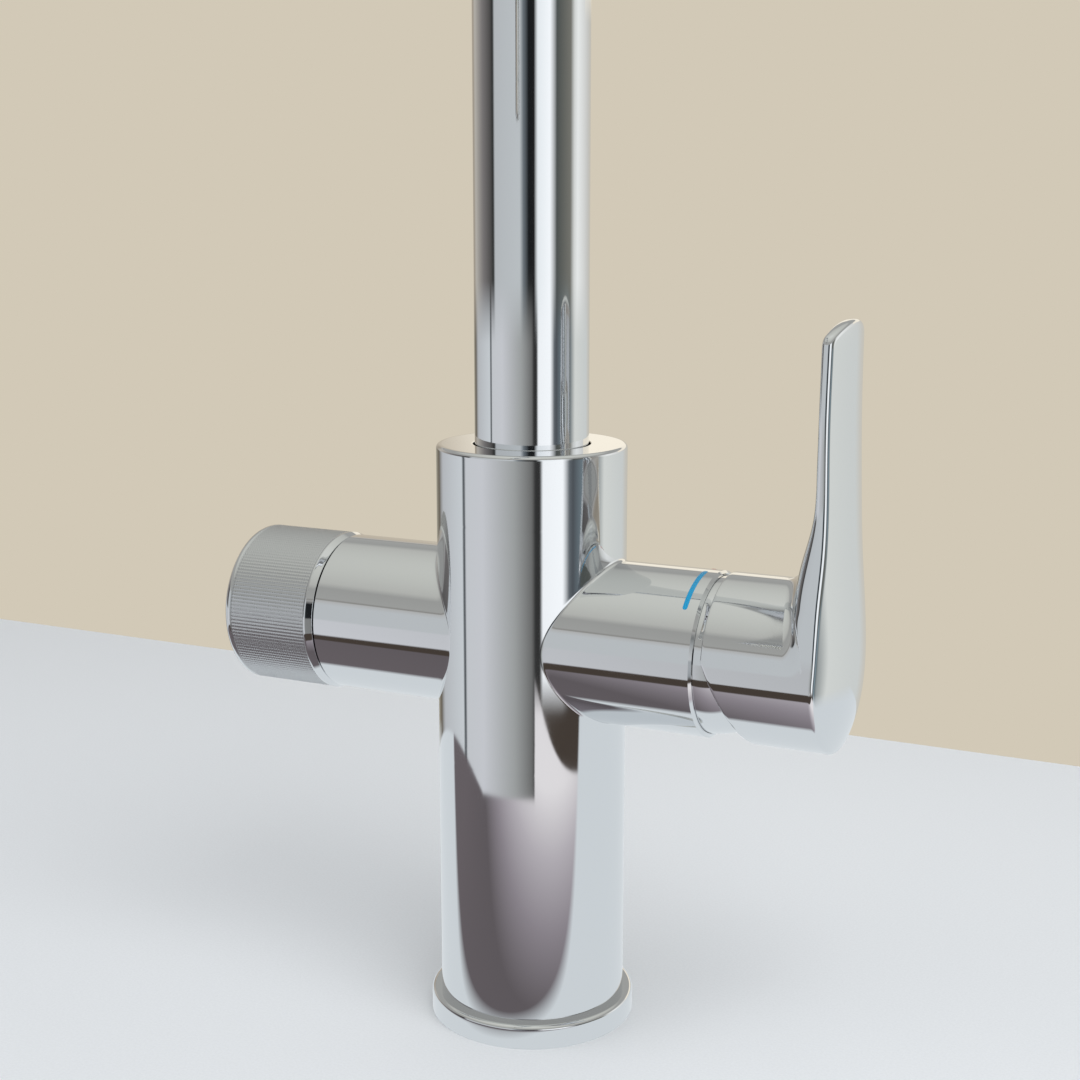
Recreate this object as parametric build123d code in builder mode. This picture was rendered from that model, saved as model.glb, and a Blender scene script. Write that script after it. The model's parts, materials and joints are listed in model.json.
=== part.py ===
"""Three-way kitchen tap with a mixer lever on the right arm and a filtered-water knob on the left arm.

The origin is the centre of the deck seat. +Z is up, +X runs along the mixer arm to the lever, and the spout
reaches out towards -Y, where the user stands. All sizes are in millimetres. The lever is modelled closed and
upright, and the knob shut.
"""

import os
from math import cos, radians, sin, tan

from build123d import *

# Clearances and fits
RUNNING_FIT = 0.05
PRESS_FIT = 0.02
LOOSE_FIT = 0.1
ROTOR_FIT = 0.1
SEAL_GAP = 0.05
OVERCUT = 1.0

# Column, base and arms
COLUMN_RADIUS = 23.5
COLUMN_WALL = 3.7
COLUMN_OVER_ARMS = 47.7
COLUMN_EDGE = 1.0
ARM_HEIGHT = 100.0
ARM_RADIUS = 20.0
ARM_EDGE = 0.6
ARM_BLEND = 1.0
RIGHT_ARM_REACH = 50.0
LEFT_ARM_REACH = 52.5
BASE_HEIGHT = 6.0
BASE_OVERHANG = 2.5
BASE_EDGE = 1.2
BASE_SEAL_WIDTH = 3.0
BASE_SEAL_INSET = 1.5
BASE_SEAL_THICKNESS = 2.0

# Fixing under the deck
SHANK_RADIUS = 16.5
SHANK_BORE = 13.5
SHANK_ENGAGEMENT = 10.0
SHANK_BELOW_DECK = 58.0
SHANK_CHAMFER = 0.8
DECK_THICKNESS = 30.0
CLAMP_RADIUS = 25.0
CLAMP_GASKET_THICKNESS = 3.0
CLAMP_WASHER_THICKNESS = 2.0
CLAMP_NUT_HEIGHT = 10.0
CLAMP_NUT_ACROSS_FLATS = 41.0

# Waterways in the body
INLET_PITCH_RADIUS = 7.6
INLET_THREAD_RADIUS = 4.5
INLET_DEPTH = 12.0
INLET_CEILING = 72.0
CHANNEL_RADIUS = 2.5
CHANNEL_WEB = 0.9
HOT_ANGLE = 60.0
COLD_ANGLE = -60.0
FILTERED_ANGLE = 180.0
MIXER_PORT_DROP = 4.0
MIXED_PORT_RISE = 7.0
MIXED_CHANNEL_RADIUS = 2.2
FILTERED_OUT_RISE = 6.0
FILTERED_OUT_RADIUS = 1.8

# Mixer cartridge, placed from the end of the right arm
CARTRIDGE_RADIUS = 14.0
CARTRIDGE_WALL = 1.4
CARTRIDGE_DEPTH = 28.0
PORT_SEAL_STANDOFF = 0.8
PORT_SEAL_RADIUS = 4.0
PORT_SEAL_WIDTH = 1.4
MIXER_BASE_THICKNESS = 3.2
FIXED_DISC_THICKNESS = 3.5
MIXER_SLOT_LENGTH = 7.0
MIXER_SLOT_WIDTH = 4.4
MIXER_SLOT_TURN = 60.0
MIXED_SLOT_HALF_LENGTH = 4.2
MIXED_SLOT_HALF_WIDTH = 2.4
MOVING_DISC_THICKNESS = 3.5
MOVING_DISC_MARGIN = 3.3
DISC_POCKET_RISE = 3.2
DISC_POCKET_LENGTH = 11.0
DISC_POCKET_WIDTH = 8.4
CARRIER_MARGIN = 2.8
CARRIER_PLATE = 2.0
CARRIER_BOSS_WIDTH = 10.0
CARRIER_BOSS_HEIGHT = 8.0
BALL_SOCKET_SPARE = 1.5
ROTOR_SHOULDER_WIDTH = 2.2
ROTOR_DISC_GAP = 0.4
ROTOR_DISC_THICKNESS = 3.0
ROTOR_NECK_OVER_PIVOT = 6.0
HOUSING_NECK_WALL = 2.1
HOUSING_NECK_LENGTH = 7.0
MOUTH_WALL = 1.0
MOUTH_DEPTH = 8.0
RING_NUT_THICKNESS = 4.0
RING_NUT_SLOTS = 6
RING_NUT_SLOT = 3.0
DOME_WALL = 1.2
DOME_OPENING = 10.5

# Spindle and travel of the lever
FLOW_TRAVEL = 25.0
SPINDLE_SQUARE = 7.0
SPINDLE_CHAMFER = 0.6
SPINDLE_REACH = 26.0
SPINDLE_BLOCK_BEHIND_PIVOT = 4.0
BALL_DISTANCE = 9.0
BALL_RADIUS = 2.8
STEM_RADIUS = 1.8
PIVOT_PIN_RADIUS = 1.5
PIVOT_PIN_INSET = 0.8
LEVER_SCREW_RADIUS = 2.5
LEVER_SCREW_LENGTH = 10.0
LEVER_SCREW_PLACE = 21.0
LEVER_PLUG_RADIUS = 3.2
LEVER_PLUG_LENGTH = 3.0

# Lever
LEVER_GAP = 2.2
LEVER_STOCK = 5.0
LEVER_EDGE = 0.5
LEVER_FLANK_START = 8.0
LEVER_HEIGHT = 80.4
LEVER_TIP_HALF_WIDTH = 11.3
LEVER_TIP_CROWN = 4.4
LEVER_TIP_CORNER = 3.0
LEVER_WAIST_HEIGHT = 27.5
LEVER_WAIST_HALF_WIDTH = 13.6
LEVER_DOME_GAP = 0.5
LEVER_CUT_ANGLE = 28.0
LEVER_CUT_START = 3.0
LEVER_CUT_FLOOR = 11.0
LEVER_BLADE_INNER = 25.4
LEVER_BLEND_START = 17.0
LEVER_BLEND_HEIGHT = 26.0
LEVER_BLEND_SAG_DEPTH = 3.5
LEVER_BLEND_SAG_HEIGHT = 9.0
LEVER_FACE_AXIS = 5.6
LEVER_FACE_TOP = 25.4
LEVER_FACE_MIDDLE = 26.4
LEVER_FACE_MIDDLE_HEIGHT = 43.0
LEVER_FACE_SHOULDER = 27.5
LEVER_FACE_SHOULDER_HEIGHT = 17.5
LEVER_FACE_BULGE = 29.65
LEVER_FACE_BULGE_DROP = 0.5
LEVER_FACE_FOOT = 24.5
LEVER_FACE_OVERRUN = 0.5

# Filtered-water valve, placed from the end of the left arm
VALVE_SEAT_DEPTH = 32.5
VALVE_BORE = 9.6
LEFT_ARM_WALL = 2.3
VALVE_COUNTERBORE_DEPTH = 14.5
VALVE_BARREL_RADIUS = 8.3
VALVE_BARREL_BORE = 7.0
VALVE_BARREL_LENGTH = 6.5
VALVE_WINDOW = 5.0
VALVE_COLLAR_ACROSS_FLATS = 24.0
VALVE_COLLAR_THICKNESS = 5.0
VALVE_NECK_RADIUS = 7.5
VALVE_NECK_LENGTH = 5.0
SEAT_SEAL_THICKNESS = 1.5
SEAT_SEAL_RADIUS = 4.4
BODY_SEAL_SECTION = 1.2
VALVE_DISC_THICKNESS = 2.5
VALVE_DISC_RADIUS = 6.8
VALVE_PORT_PLACE = 3.6
VALVE_PORT_DEPTH = 4.0
VALVE_PORT_WIDTH = 5.2
VALVE_PORT_CORNER = 1.2
SPINDLE_FOOT_THICKNESS = 3.0
SPINDLE_RADIUS = 4.0
SPLINE_RADIUS = 3.9
SPLINE_LENGTH = 9.0
SPLINE_TEETH = 20
SPLINE_GROOVE = 0.5
O_RING_SECTION = 1.0
O_RING_PITCH = 3.0
CLIP_THICKNESS = 0.8
CLIP_RADIUS = 5.6
CLIP_MOUTH = 4.8
CLIP_GROOVE_DEPTH = 0.8

# Knob
KNOB_RADIUS = 20.5
KNOB_GAP = 0.4
KNOB_LENGTH = 26.5
KNOB_INNER_BAND = 1.9
KNOB_INNER_CHAMFER = 0.8
KNOB_OUTER_EDGE = 1.8
KNOB_WALL = 3.0
KNOB_WEB = 4.0
KNOB_CUP_DEPTH = 11.6
KNOB_COLLAR_RADIUS = 10.5
KNOB_COLLAR_LENGTH = 6.0
INSERT_RADIUS = 8.2
INSERT_LENGTH = 10.0
KNOB_SCREW_RADIUS = 2.0
KNOB_SCREW_HEAD_RADIUS = 3.8
KNOB_SCREW_HEAD = 3.0
KNOB_SCREW_SOCKET_FLOOR = 1.0
KNOB_SCREW_LENGTH = 11.0
KNOB_RIM_WIDTH = 5.0
KNOB_CAP_THICKNESS = 3.0

# Spout
SPOUT_RADIUS = 14.0
SPOUT_WALL = 1.5
SPOUT_BORE_GAP = 0.45
SPOUT_FLOOR_OVER_ARMS = 16.0
SPOUT_FOOT_LENGTH = 25.0
SPOUT_FOOT_GAP = 0.1
SPOUT_FOOT_WALL = 3.5
SPOUT_SPIGOT = 8.0
SPOUT_STRAIGHT_OVER_COLUMN = 110.3
SPOUT_BEND_RADIUS = 104.0
SPOUT_DROP = 14.0
CHAMBER_SHOULDER = 3.45
CHAMBER_DEPTH = 6.0
SLIDE_RING_WIDTH = 3.0
SLIDE_RING_INSET = 2.0
SLIDE_RING_THICKNESS = 1.4
SPOUT_O_RING_SECTION = 1.6
LOWER_O_RING_RISE = 5.0
UPPER_O_RING_RISE = 3.6
STOP_GROOVE_WIDTH = 4.4
STOP_GROOVE_DEPTH = 2.4
STOP_SCREW_RADIUS = 2.0
STOP_SCREW_INSET = 0.5
SWIVEL_HALF_ANGLE = 75.0
STOP_GROOVE_MARGIN = 10.0

# Inner tube and outlet
INNER_TUBE_RADIUS = 4.0
INNER_TUBE_BORE = 3.0
INNER_SOCKET_RADIUS = 5.2
INNER_SOCKET_DEPTH = 6.0
INNER_SEAL_HEIGHT = 2.0
INNER_TUBE_STANDOFF = 1.0
OUTLET_RING_LENGTH = 12.0
OUTLET_SPIGOT = 8.0
OUTLET_RING_EDGE = 1.0
OUTLET_RECESS = 1.0
OUTLET_GROOVE_RISE = 3.0
OUTLET_GROOVE_DEPTH = 0.8
OUTLET_WALL = 1.1
AERATOR_LENGTH = 9.0
AERATOR_WALL = 1.3
AERATOR_FLANGE = 1.2
AERATOR_INSERT_LENGTH = 5.0
NOZZLE_RADIUS = 4.6
NOZZLE_LENGTH = 10.0
NOZZLE_BORE = 2.6
NOZZLE_SOCKET = 4.0
AERATOR_PORTS = 12
AERATOR_PORT_RADIUS = 0.9

# Places worked out from the sizes above
COLUMN_TOP = ARM_HEIGHT + COLUMN_OVER_ARMS
MIXER_SEAT = RIGHT_ARM_REACH - CARTRIDGE_DEPTH
MOUTH_FLOOR = RIGHT_ARM_REACH - MOUTH_DEPTH
PIVOT = RIGHT_ARM_REACH
BASE_OF_CARTRIDGE = MIXER_SEAT + PORT_SEAL_STANDOFF
FIXED_DISC_PLACE = BASE_OF_CARTRIDGE + MIXER_BASE_THICKNESS
MOVING_DISC_PLACE = FIXED_DISC_PLACE + FIXED_DISC_THICKNESS
CARRIER_PLACE = MOVING_DISC_PLACE + MOVING_DISC_THICKNESS
ROTOR_PLACE = CARRIER_PLACE + CARRIER_PLATE + 3 * LOOSE_FIT
ROTOR_SHOULDER = ROTOR_PLACE + ROTOR_DISC_THICKNESS
HOUSING_CEILING = ROTOR_SHOULDER + 2 * LOOSE_FIT
CARTRIDGE_BORE = CARTRIDGE_RADIUS + LOOSE_FIT
HOUSING_BORE = CARTRIDGE_RADIUS - CARTRIDGE_WALL
FIXED_DISC_RADIUS = HOUSING_BORE - LOOSE_FIT
MOVING_DISC_RADIUS = HOUSING_BORE - MOVING_DISC_MARGIN
CARRIER_RADIUS = HOUSING_BORE - CARRIER_MARGIN
ROTOR_DISC_RADIUS = HOUSING_BORE - ROTOR_DISC_GAP
ROTOR_NECK_RADIUS = ROTOR_DISC_RADIUS - ROTOR_SHOULDER_WIDTH
MOUTH_RADIUS = ARM_RADIUS - MOUTH_WALL
DOME_RADIUS = MOUTH_RADIUS - LOOSE_FIT
HOUSING_NECK_RADIUS = ROTOR_NECK_RADIUS + ROTOR_FIT + HOUSING_NECK_WALL
REST_TILT = FLOW_TRAVEL / 2
DISC_OFFSET = -BALL_DISTANCE * sin(radians(REST_TILT))
BALL_PLACE = PIVOT - BALL_DISTANCE * cos(radians(REST_TILT))
BOSS_END = BALL_PLACE + BALL_RADIUS + 2 * LOOSE_FIT

VALVE_SEAT = LEFT_ARM_REACH - VALVE_SEAT_DEPTH
VALVE_COUNTERBORE = ARM_RADIUS - LEFT_ARM_WALL
VALVE_SHOULDER = LEFT_ARM_REACH - VALVE_COUNTERBORE_DEPTH
VALVE_BARREL_PLACE = VALVE_SEAT + SEAT_SEAL_THICKNESS
VALVE_THREAD_PLACE = VALVE_BARREL_PLACE + VALVE_BARREL_LENGTH
VALVE_NECK_PLACE = VALVE_SHOULDER + VALVE_COLLAR_THICKNESS
VALVE_NECK_END = VALVE_NECK_PLACE + VALVE_NECK_LENGTH
VALVE_MOVING_DISC_PLACE = VALVE_BARREL_PLACE + VALVE_DISC_THICKNESS
SPINDLE_FOOT_PLACE = VALVE_MOVING_DISC_PLACE + VALVE_DISC_THICKNESS
SPINDLE_FOOT_END = SPINDLE_FOOT_PLACE + SPINDLE_FOOT_THICKNESS
SPLINE_PLACE = VALVE_NECK_END + CLIP_THICKNESS + 3 * LOOSE_FIT
SPINDLE_END = SPLINE_PLACE + SPLINE_LENGTH

KNOB_PLACE = LEFT_ARM_REACH + KNOB_GAP
KNOB_END = KNOB_PLACE + KNOB_LENGTH
KNOB_WEB_PLACE = KNOB_PLACE + KNOB_CUP_DEPTH
KNOB_WEB_END = KNOB_WEB_PLACE + KNOB_WEB
KNOB_CAP_RADIUS = KNOB_RADIUS - KNOB_RIM_WIDTH

SPOUT_BORE = SPOUT_RADIUS + SPOUT_BORE_GAP
SPOUT_FLOOR = ARM_HEIGHT + SPOUT_FLOOR_OVER_ARMS
CHAMBER_FLOOR = SPOUT_FLOOR - CHAMBER_DEPTH
SOCKET_FLOOR = CHAMBER_FLOOR - INNER_SOCKET_DEPTH
SPOUT_FOOT_RADIUS = SPOUT_RADIUS - SPOUT_FOOT_GAP
SPOUT_FOOT_PLACE = SPOUT_FLOOR + 3 * LOOSE_FIT
SPOUT_TUBE_PLACE = SPOUT_FOOT_PLACE + SPOUT_FOOT_LENGTH
SPOUT_BORE_OF_TUBE = SPOUT_RADIUS - SPOUT_WALL
SPOUT_FOOT_BORE = SPOUT_BORE_OF_TUBE - SPOUT_FOOT_WALL
CHAMBER_RADIUS = SPOUT_BORE - CHAMBER_SHOULDER
OUTLET_BORE = SPOUT_BORE_OF_TUBE - OUTLET_WALL
AERATOR_RADIUS = OUTLET_BORE - LOOSE_FIT
BEND_HEIGHT = COLUMN_TOP + SPOUT_STRAIGHT_OVER_COLUMN
SPOUT_REACH = 2 * SPOUT_BEND_RADIUS
OUTLET_HEIGHT = BEND_HEIGHT - SPOUT_DROP
OUTLET_END = OUTLET_HEIGHT - OUTLET_RING_LENGTH
STOP_GROOVE_PLACE = SPOUT_FOOT_PLACE + SPOUT_FOOT_LENGTH / 2

ARM_AXIS = Axis((0, 0, ARM_HEIGHT), (1, 0, 0))


def level(height):
    """A horizontal plane at a height over the deck, facing up."""
    return Plane.XY.offset(height)


def right_of(distance):
    """A plane across the right arm, facing the lever."""
    return Plane(origin=(distance, 0, ARM_HEIGHT), x_dir=(0, 1, 0), z_dir=(1, 0, 0))


def left_of(distance):
    """A plane across the left arm, facing the knob."""
    return Plane(origin=(-distance, 0, ARM_HEIGHT), x_dir=(0, -1, 0), z_dir=(-1, 0, 0))


def on_spindle(distance, facing=1):
    """A plane across the lever's spindle, which leans upward by the rest tilt from the pivot."""
    along = Vector(cos(radians(REST_TILT)), 0, sin(radians(REST_TILT)))
    origin = Vector(PIVOT, 0, ARM_HEIGHT) + along * distance
    return Plane(origin=origin, x_dir=(0, facing, 0), z_dir=along * facing)


def under_spindle(distance):
    """A plane at the lever's grub screw, across its axis, facing down away from the spindle."""
    middle = on_spindle(LEVER_SCREW_PLACE)
    down = Vector(sin(radians(REST_TILT)), 0, -cos(radians(REST_TILT)))
    return Plane(origin=middle.origin + down * distance, x_dir=(0, 1, 0), z_dir=down)


def turned(plane, radius, length, bore=0.0, mode=Mode.ADD):
    """Adds or cuts a plain turned length that starts on a plane, with a bore if one is given."""
    with BuildSketch(plane) as section:
        Circle(radius)
        if bore:
            Circle(bore, mode=Mode.SUBTRACT)
    extrude(section.sketch, amount=length, mode=mode)


def hexagonal(plane, across_flats, length, bore=0.0, mode=Mode.ADD):
    """Adds or cuts a hexagonal length, with a bore if one is given."""
    with BuildSketch(plane) as section:
        RegularPolygon(across_flats / 2, 6, major_radius=False)
        if bore:
            Circle(bore, mode=Mode.SUBTRACT)
    extrude(section.sketch, amount=length, mode=mode)


def blocked(plane, width, height, length, mode=Mode.ADD):
    """Adds or cuts a rectangular length that starts on a plane."""
    with BuildSketch(plane) as section:
        Rectangle(width, height)
    extrude(section.sketch, amount=length, mode=mode)


def drilled(plane, places, radius, length, mode=Mode.SUBTRACT):
    """Drills equal holes at local places on a plane."""
    with BuildSketch(plane) as section:
        with Locations(*places):
            Circle(radius)
    extrude(section.sketch, amount=length, mode=mode)


def finish(builder, label):
    """Labels a finished piece and writes its file."""
    builder.part.label = label
    export_step(builder.part, f"parts/{label}.step")


def inlet_place(angle):
    """Centre of an inlet on its pitch circle, seen from above."""
    return (INLET_PITCH_RADIUS * cos(radians(angle)), INLET_PITCH_RADIUS * sin(radians(angle)))


os.makedirs("parts", exist_ok=True)

HOT_PLACE = inlet_place(HOT_ANGLE)
COLD_PLACE = inlet_place(COLD_ANGLE)
FILTERED_PLACE = inlet_place(FILTERED_ANGLE)
INLET_TOP = INLET_CEILING + INLET_DEPTH
HOT_PORT = (HOT_PLACE[1], -MIXER_PORT_DROP)
COLD_PORT = (COLD_PLACE[1], -MIXER_PORT_DROP)
MIXED_PORT = (0, MIXED_PORT_RISE)
MIXED_RISE_PLACE = INNER_SOCKET_RADIUS + CHANNEL_WEB + MIXED_CHANNEL_RADIUS

# Column and arms, one casting with its bores and waterways
with BuildPart() as tap_body:
    turned(level(BASE_HEIGHT), COLUMN_RADIUS, COLUMN_TOP - BASE_HEIGHT)
    turned(right_of(0), ARM_RADIUS, RIGHT_ARM_REACH)
    turned(left_of(0), ARM_RADIUS, LEFT_ARM_REACH)
    rims = tap_body.edges().filter_by(GeomType.CIRCLE)
    fillet(rims.sort_by(Axis.Z)[-1], COLUMN_EDGE)
    rims = tap_body.edges().filter_by(GeomType.CIRCLE)
    chamfer([rims.sort_by(Axis.X)[0], rims.sort_by(Axis.X)[-1]], ARM_EDGE)
    fillet(tap_body.edges().filter_by(GeomType.BSPLINE), ARM_BLEND)
    # Hollow for the hoses, over the threaded land of the shank
    turned(level(BASE_HEIGHT), SHANK_RADIUS + PRESS_FIT, SHANK_ENGAGEMENT, mode=Mode.SUBTRACT)
    turned(
        level(BASE_HEIGHT + SHANK_ENGAGEMENT),
        COLUMN_RADIUS - COLUMN_WALL,
        INLET_CEILING - BASE_HEIGHT - SHANK_ENGAGEMENT,
        mode=Mode.SUBTRACT,
    )
    # Threaded inlets in the ceiling of the hollow
    inlets = [HOT_PLACE, COLD_PLACE, FILTERED_PLACE]
    drilled(level(INLET_CEILING), inlets, INLET_THREAD_RADIUS, INLET_DEPTH)
    # Hot and cold water to the mixer seat
    mixed_feeds = [HOT_PLACE, COLD_PLACE]
    feed_rise = ARM_HEIGHT - MIXER_PORT_DROP - INLET_TOP
    drilled(level(INLET_TOP), mixed_feeds, CHANNEL_RADIUS, feed_rise)
    drilled(right_of(MIXER_SEAT), [HOT_PORT, COLD_PORT], CHANNEL_RADIUS, HOT_PLACE[0] - MIXER_SEAT)
    # Filtered water to the valve seat and on to the inner tube
    drilled(level(INLET_TOP), [FILTERED_PLACE], CHANNEL_RADIUS, ARM_HEIGHT - INLET_TOP)
    turned(left_of(VALVE_SEAT), CHANNEL_RADIUS, -FILTERED_PLACE[0] - VALVE_SEAT, mode=Mode.SUBTRACT)
    drilled(left_of(VALVE_SEAT), [(0, FILTERED_OUT_RISE)], FILTERED_OUT_RADIUS, -VALVE_SEAT)
    turned(level(SOCKET_FLOOR), INNER_SOCKET_RADIUS, INNER_SOCKET_DEPTH, mode=Mode.SUBTRACT)
    # Mixed water up to the chamber under the spout
    drilled(
        right_of(MIXER_SEAT), [MIXED_PORT], MIXED_CHANNEL_RADIUS, MIXED_RISE_PLACE - MIXER_SEAT
    )
    drilled(
        level(ARM_HEIGHT + MIXED_PORT_RISE),
        [(MIXED_RISE_PLACE, 0)],
        MIXED_CHANNEL_RADIUS,
        CHAMBER_FLOOR - ARM_HEIGHT - MIXED_PORT_RISE,
    )
    turned(level(CHAMBER_FLOOR), CHAMBER_RADIUS, CHAMBER_DEPTH, mode=Mode.SUBTRACT)
    turned(level(SPOUT_FLOOR), SPOUT_BORE, COLUMN_TOP - SPOUT_FLOOR, mode=Mode.SUBTRACT)
    # Bores of the mixer cartridge and of the filter valve
    turned(right_of(MIXER_SEAT), CARTRIDGE_BORE, CARTRIDGE_DEPTH, mode=Mode.SUBTRACT)
    turned(right_of(MOUTH_FLOOR), MOUTH_RADIUS, MOUTH_DEPTH, mode=Mode.SUBTRACT)
    turned(left_of(VALVE_SEAT), VALVE_BORE, VALVE_SEAT_DEPTH, mode=Mode.SUBTRACT)
    turned(left_of(VALVE_SHOULDER), VALVE_COUNTERBORE, VALVE_COUNTERBORE_DEPTH, mode=Mode.SUBTRACT)
    # Threaded hole of the screw that limits the spout's swivel
    with BuildSketch(Plane.XZ) as stop_hole:
        with Locations((0, STOP_GROOVE_PLACE)):
            Circle(STOP_SCREW_RADIUS)
    extrude(amount=-COLUMN_RADIUS, mode=Mode.SUBTRACT)
finish(tap_body, "tap_body")

# Base ring and the seal in its underside
BASE_RADIUS = COLUMN_RADIUS + BASE_OVERHANG
BASE_SEAL_OUTER = BASE_RADIUS - BASE_SEAL_INSET
BASE_SEAL_INNER = BASE_SEAL_OUTER - BASE_SEAL_WIDTH
BASE_BORE = SHANK_RADIUS + 5 * LOOSE_FIT
with BuildPart() as base_ring:
    turned(level(0), BASE_RADIUS, BASE_HEIGHT)
    fillet(base_ring.edges().sort_by(Axis.Z)[-1], BASE_EDGE)
    turned(level(0), BASE_BORE, BASE_HEIGHT, mode=Mode.SUBTRACT)
    turned(level(0), BASE_SEAL_OUTER, BASE_SEAL_THICKNESS, bore=BASE_SEAL_INNER, mode=Mode.SUBTRACT)
finish(base_ring, "base_ring")

with BuildPart() as base_seal:
    turned(level(0), BASE_SEAL_OUTER - SEAL_GAP, BASE_SEAL_THICKNESS, bore=BASE_SEAL_INNER + SEAL_GAP)
finish(base_seal, "base_seal")

# Hollow threaded shank and what clamps it under the deck
with BuildPart() as mounting_shank:
    turned(
        level(-SHANK_BELOW_DECK),
        SHANK_RADIUS,
        SHANK_BELOW_DECK + BASE_HEIGHT + SHANK_ENGAGEMENT,
        bore=SHANK_BORE,
    )
    foot_edges = mounting_shank.edges().filter_by(GeomType.CIRCLE).group_by(Axis.Z)[0]
    chamfer(foot_edges.sort_by(SortBy.RADIUS)[-1], SHANK_CHAMFER)
finish(mounting_shank, "mounting_shank")

GASKET_BOTTOM = -DECK_THICKNESS - CLAMP_GASKET_THICKNESS
WASHER_BOTTOM = GASKET_BOTTOM - CLAMP_WASHER_THICKNESS
NUT_BOTTOM = WASHER_BOTTOM - CLAMP_NUT_HEIGHT
with BuildPart() as clamp_gasket:
    turned(level(GASKET_BOTTOM), CLAMP_RADIUS, CLAMP_GASKET_THICKNESS, bore=BASE_BORE)
finish(clamp_gasket, "clamp_gasket")

with BuildPart() as clamp_washer:
    turned(level(WASHER_BOTTOM), CLAMP_RADIUS, CLAMP_WASHER_THICKNESS, bore=BASE_BORE)
finish(clamp_washer, "clamp_washer")

with BuildPart() as clamp_nut:
    hexagonal(
        level(NUT_BOTTOM), CLAMP_NUT_ACROSS_FLATS, CLAMP_NUT_HEIGHT, bore=SHANK_RADIUS + PRESS_FIT
    )
finish(clamp_nut, "clamp_nut")

# Mixer cartridge, from the seat outward
with BuildPart() as mixer_port_seals:
    with BuildSketch(right_of(MIXER_SEAT)):
        with Locations(HOT_PORT, COLD_PORT, MIXED_PORT):
            Circle(PORT_SEAL_RADIUS)
            Circle(PORT_SEAL_RADIUS - PORT_SEAL_WIDTH, mode=Mode.SUBTRACT)
    extrude(amount=2 * PORT_SEAL_STANDOFF)
finish(mixer_port_seals, "mixer_port_seals")

with BuildPart() as mixer_base:
    turned(right_of(BASE_OF_CARTRIDGE), CARTRIDGE_RADIUS, MIXER_BASE_THICKNESS)
    ports = [HOT_PORT, COLD_PORT, MIXED_PORT]
    drilled(right_of(BASE_OF_CARTRIDGE), ports, CHANNEL_RADIUS, MIXER_BASE_THICKNESS)
    pocket = PORT_SEAL_RADIUS + SEAL_GAP
    drilled(right_of(BASE_OF_CARTRIDGE), ports, pocket, PORT_SEAL_STANDOFF)
finish(mixer_base, "mixer_base")

with BuildPart() as mixer_fixed_disc:
    turned(right_of(FIXED_DISC_PLACE), FIXED_DISC_RADIUS, FIXED_DISC_THICKNESS)
    with BuildSketch(right_of(FIXED_DISC_PLACE)):
        with Locations(HOT_PORT, COLD_PORT):
            SlotOverall(MIXER_SLOT_LENGTH, MIXER_SLOT_WIDTH, rotation=MIXER_SLOT_TURN)
        with Locations(MIXED_PORT):
            Ellipse(MIXED_SLOT_HALF_LENGTH, MIXED_SLOT_HALF_WIDTH)
    extrude(amount=FIXED_DISC_THICKNESS, mode=Mode.SUBTRACT)
finish(mixer_fixed_disc, "mixer_fixed_disc")

# The moving disc bridges the ports with a pocket in the face that slides on the fixed disc
with BuildPart() as mixer_moving_disc:
    with BuildSketch(right_of(MOVING_DISC_PLACE)):
        with Locations((0, DISC_OFFSET)):
            Circle(MOVING_DISC_RADIUS)
    extrude(amount=MOVING_DISC_THICKNESS)
    with BuildSketch(right_of(MOVING_DISC_PLACE)):
        with Locations((0, DISC_OFFSET + DISC_POCKET_RISE)):
            SlotOverall(DISC_POCKET_LENGTH, DISC_POCKET_WIDTH)
    extrude(amount=MOVING_DISC_THICKNESS / 2, mode=Mode.SUBTRACT)
finish(mixer_moving_disc, "mixer_moving_disc")

with BuildPart() as mixer_disc_carrier:
    with BuildSketch(right_of(CARRIER_PLACE)):
        with Locations((0, DISC_OFFSET)):
            Circle(CARRIER_RADIUS)
    extrude(amount=CARRIER_PLATE)
    with BuildSketch(right_of(CARRIER_PLACE + CARRIER_PLATE)):
        with Locations((0, DISC_OFFSET)):
            Rectangle(CARRIER_BOSS_WIDTH, CARRIER_BOSS_HEIGHT)
    extrude(amount=BOSS_END - CARRIER_PLACE - CARRIER_PLATE)
    # Socket that the ball of the spindle slides in
    socket_depth = 2 * BALL_RADIUS + BALL_SOCKET_SPARE
    drilled(right_of(BOSS_END), [(0, DISC_OFFSET)], BALL_RADIUS + LOOSE_FIT, -socket_depth)
finish(mixer_disc_carrier, "mixer_disc_carrier")

with BuildPart() as mixer_housing:
    turned(right_of(FIXED_DISC_PLACE), CARTRIDGE_RADIUS, MOUTH_FLOOR - FIXED_DISC_PLACE)
    turned(right_of(MOUTH_FLOOR), HOUSING_NECK_RADIUS, HOUSING_NECK_LENGTH)
    turned(
        right_of(FIXED_DISC_PLACE),
        HOUSING_BORE,
        HOUSING_CEILING - FIXED_DISC_PLACE,
        mode=Mode.SUBTRACT,
    )
    neck_bore_length = MOUTH_FLOOR + HOUSING_NECK_LENGTH - HOUSING_CEILING
    neck_bore = ROTOR_NECK_RADIUS + ROTOR_FIT
    turned(right_of(HOUSING_CEILING), neck_bore, neck_bore_length, mode=Mode.SUBTRACT)
finish(mixer_housing, "mixer_housing")

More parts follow.
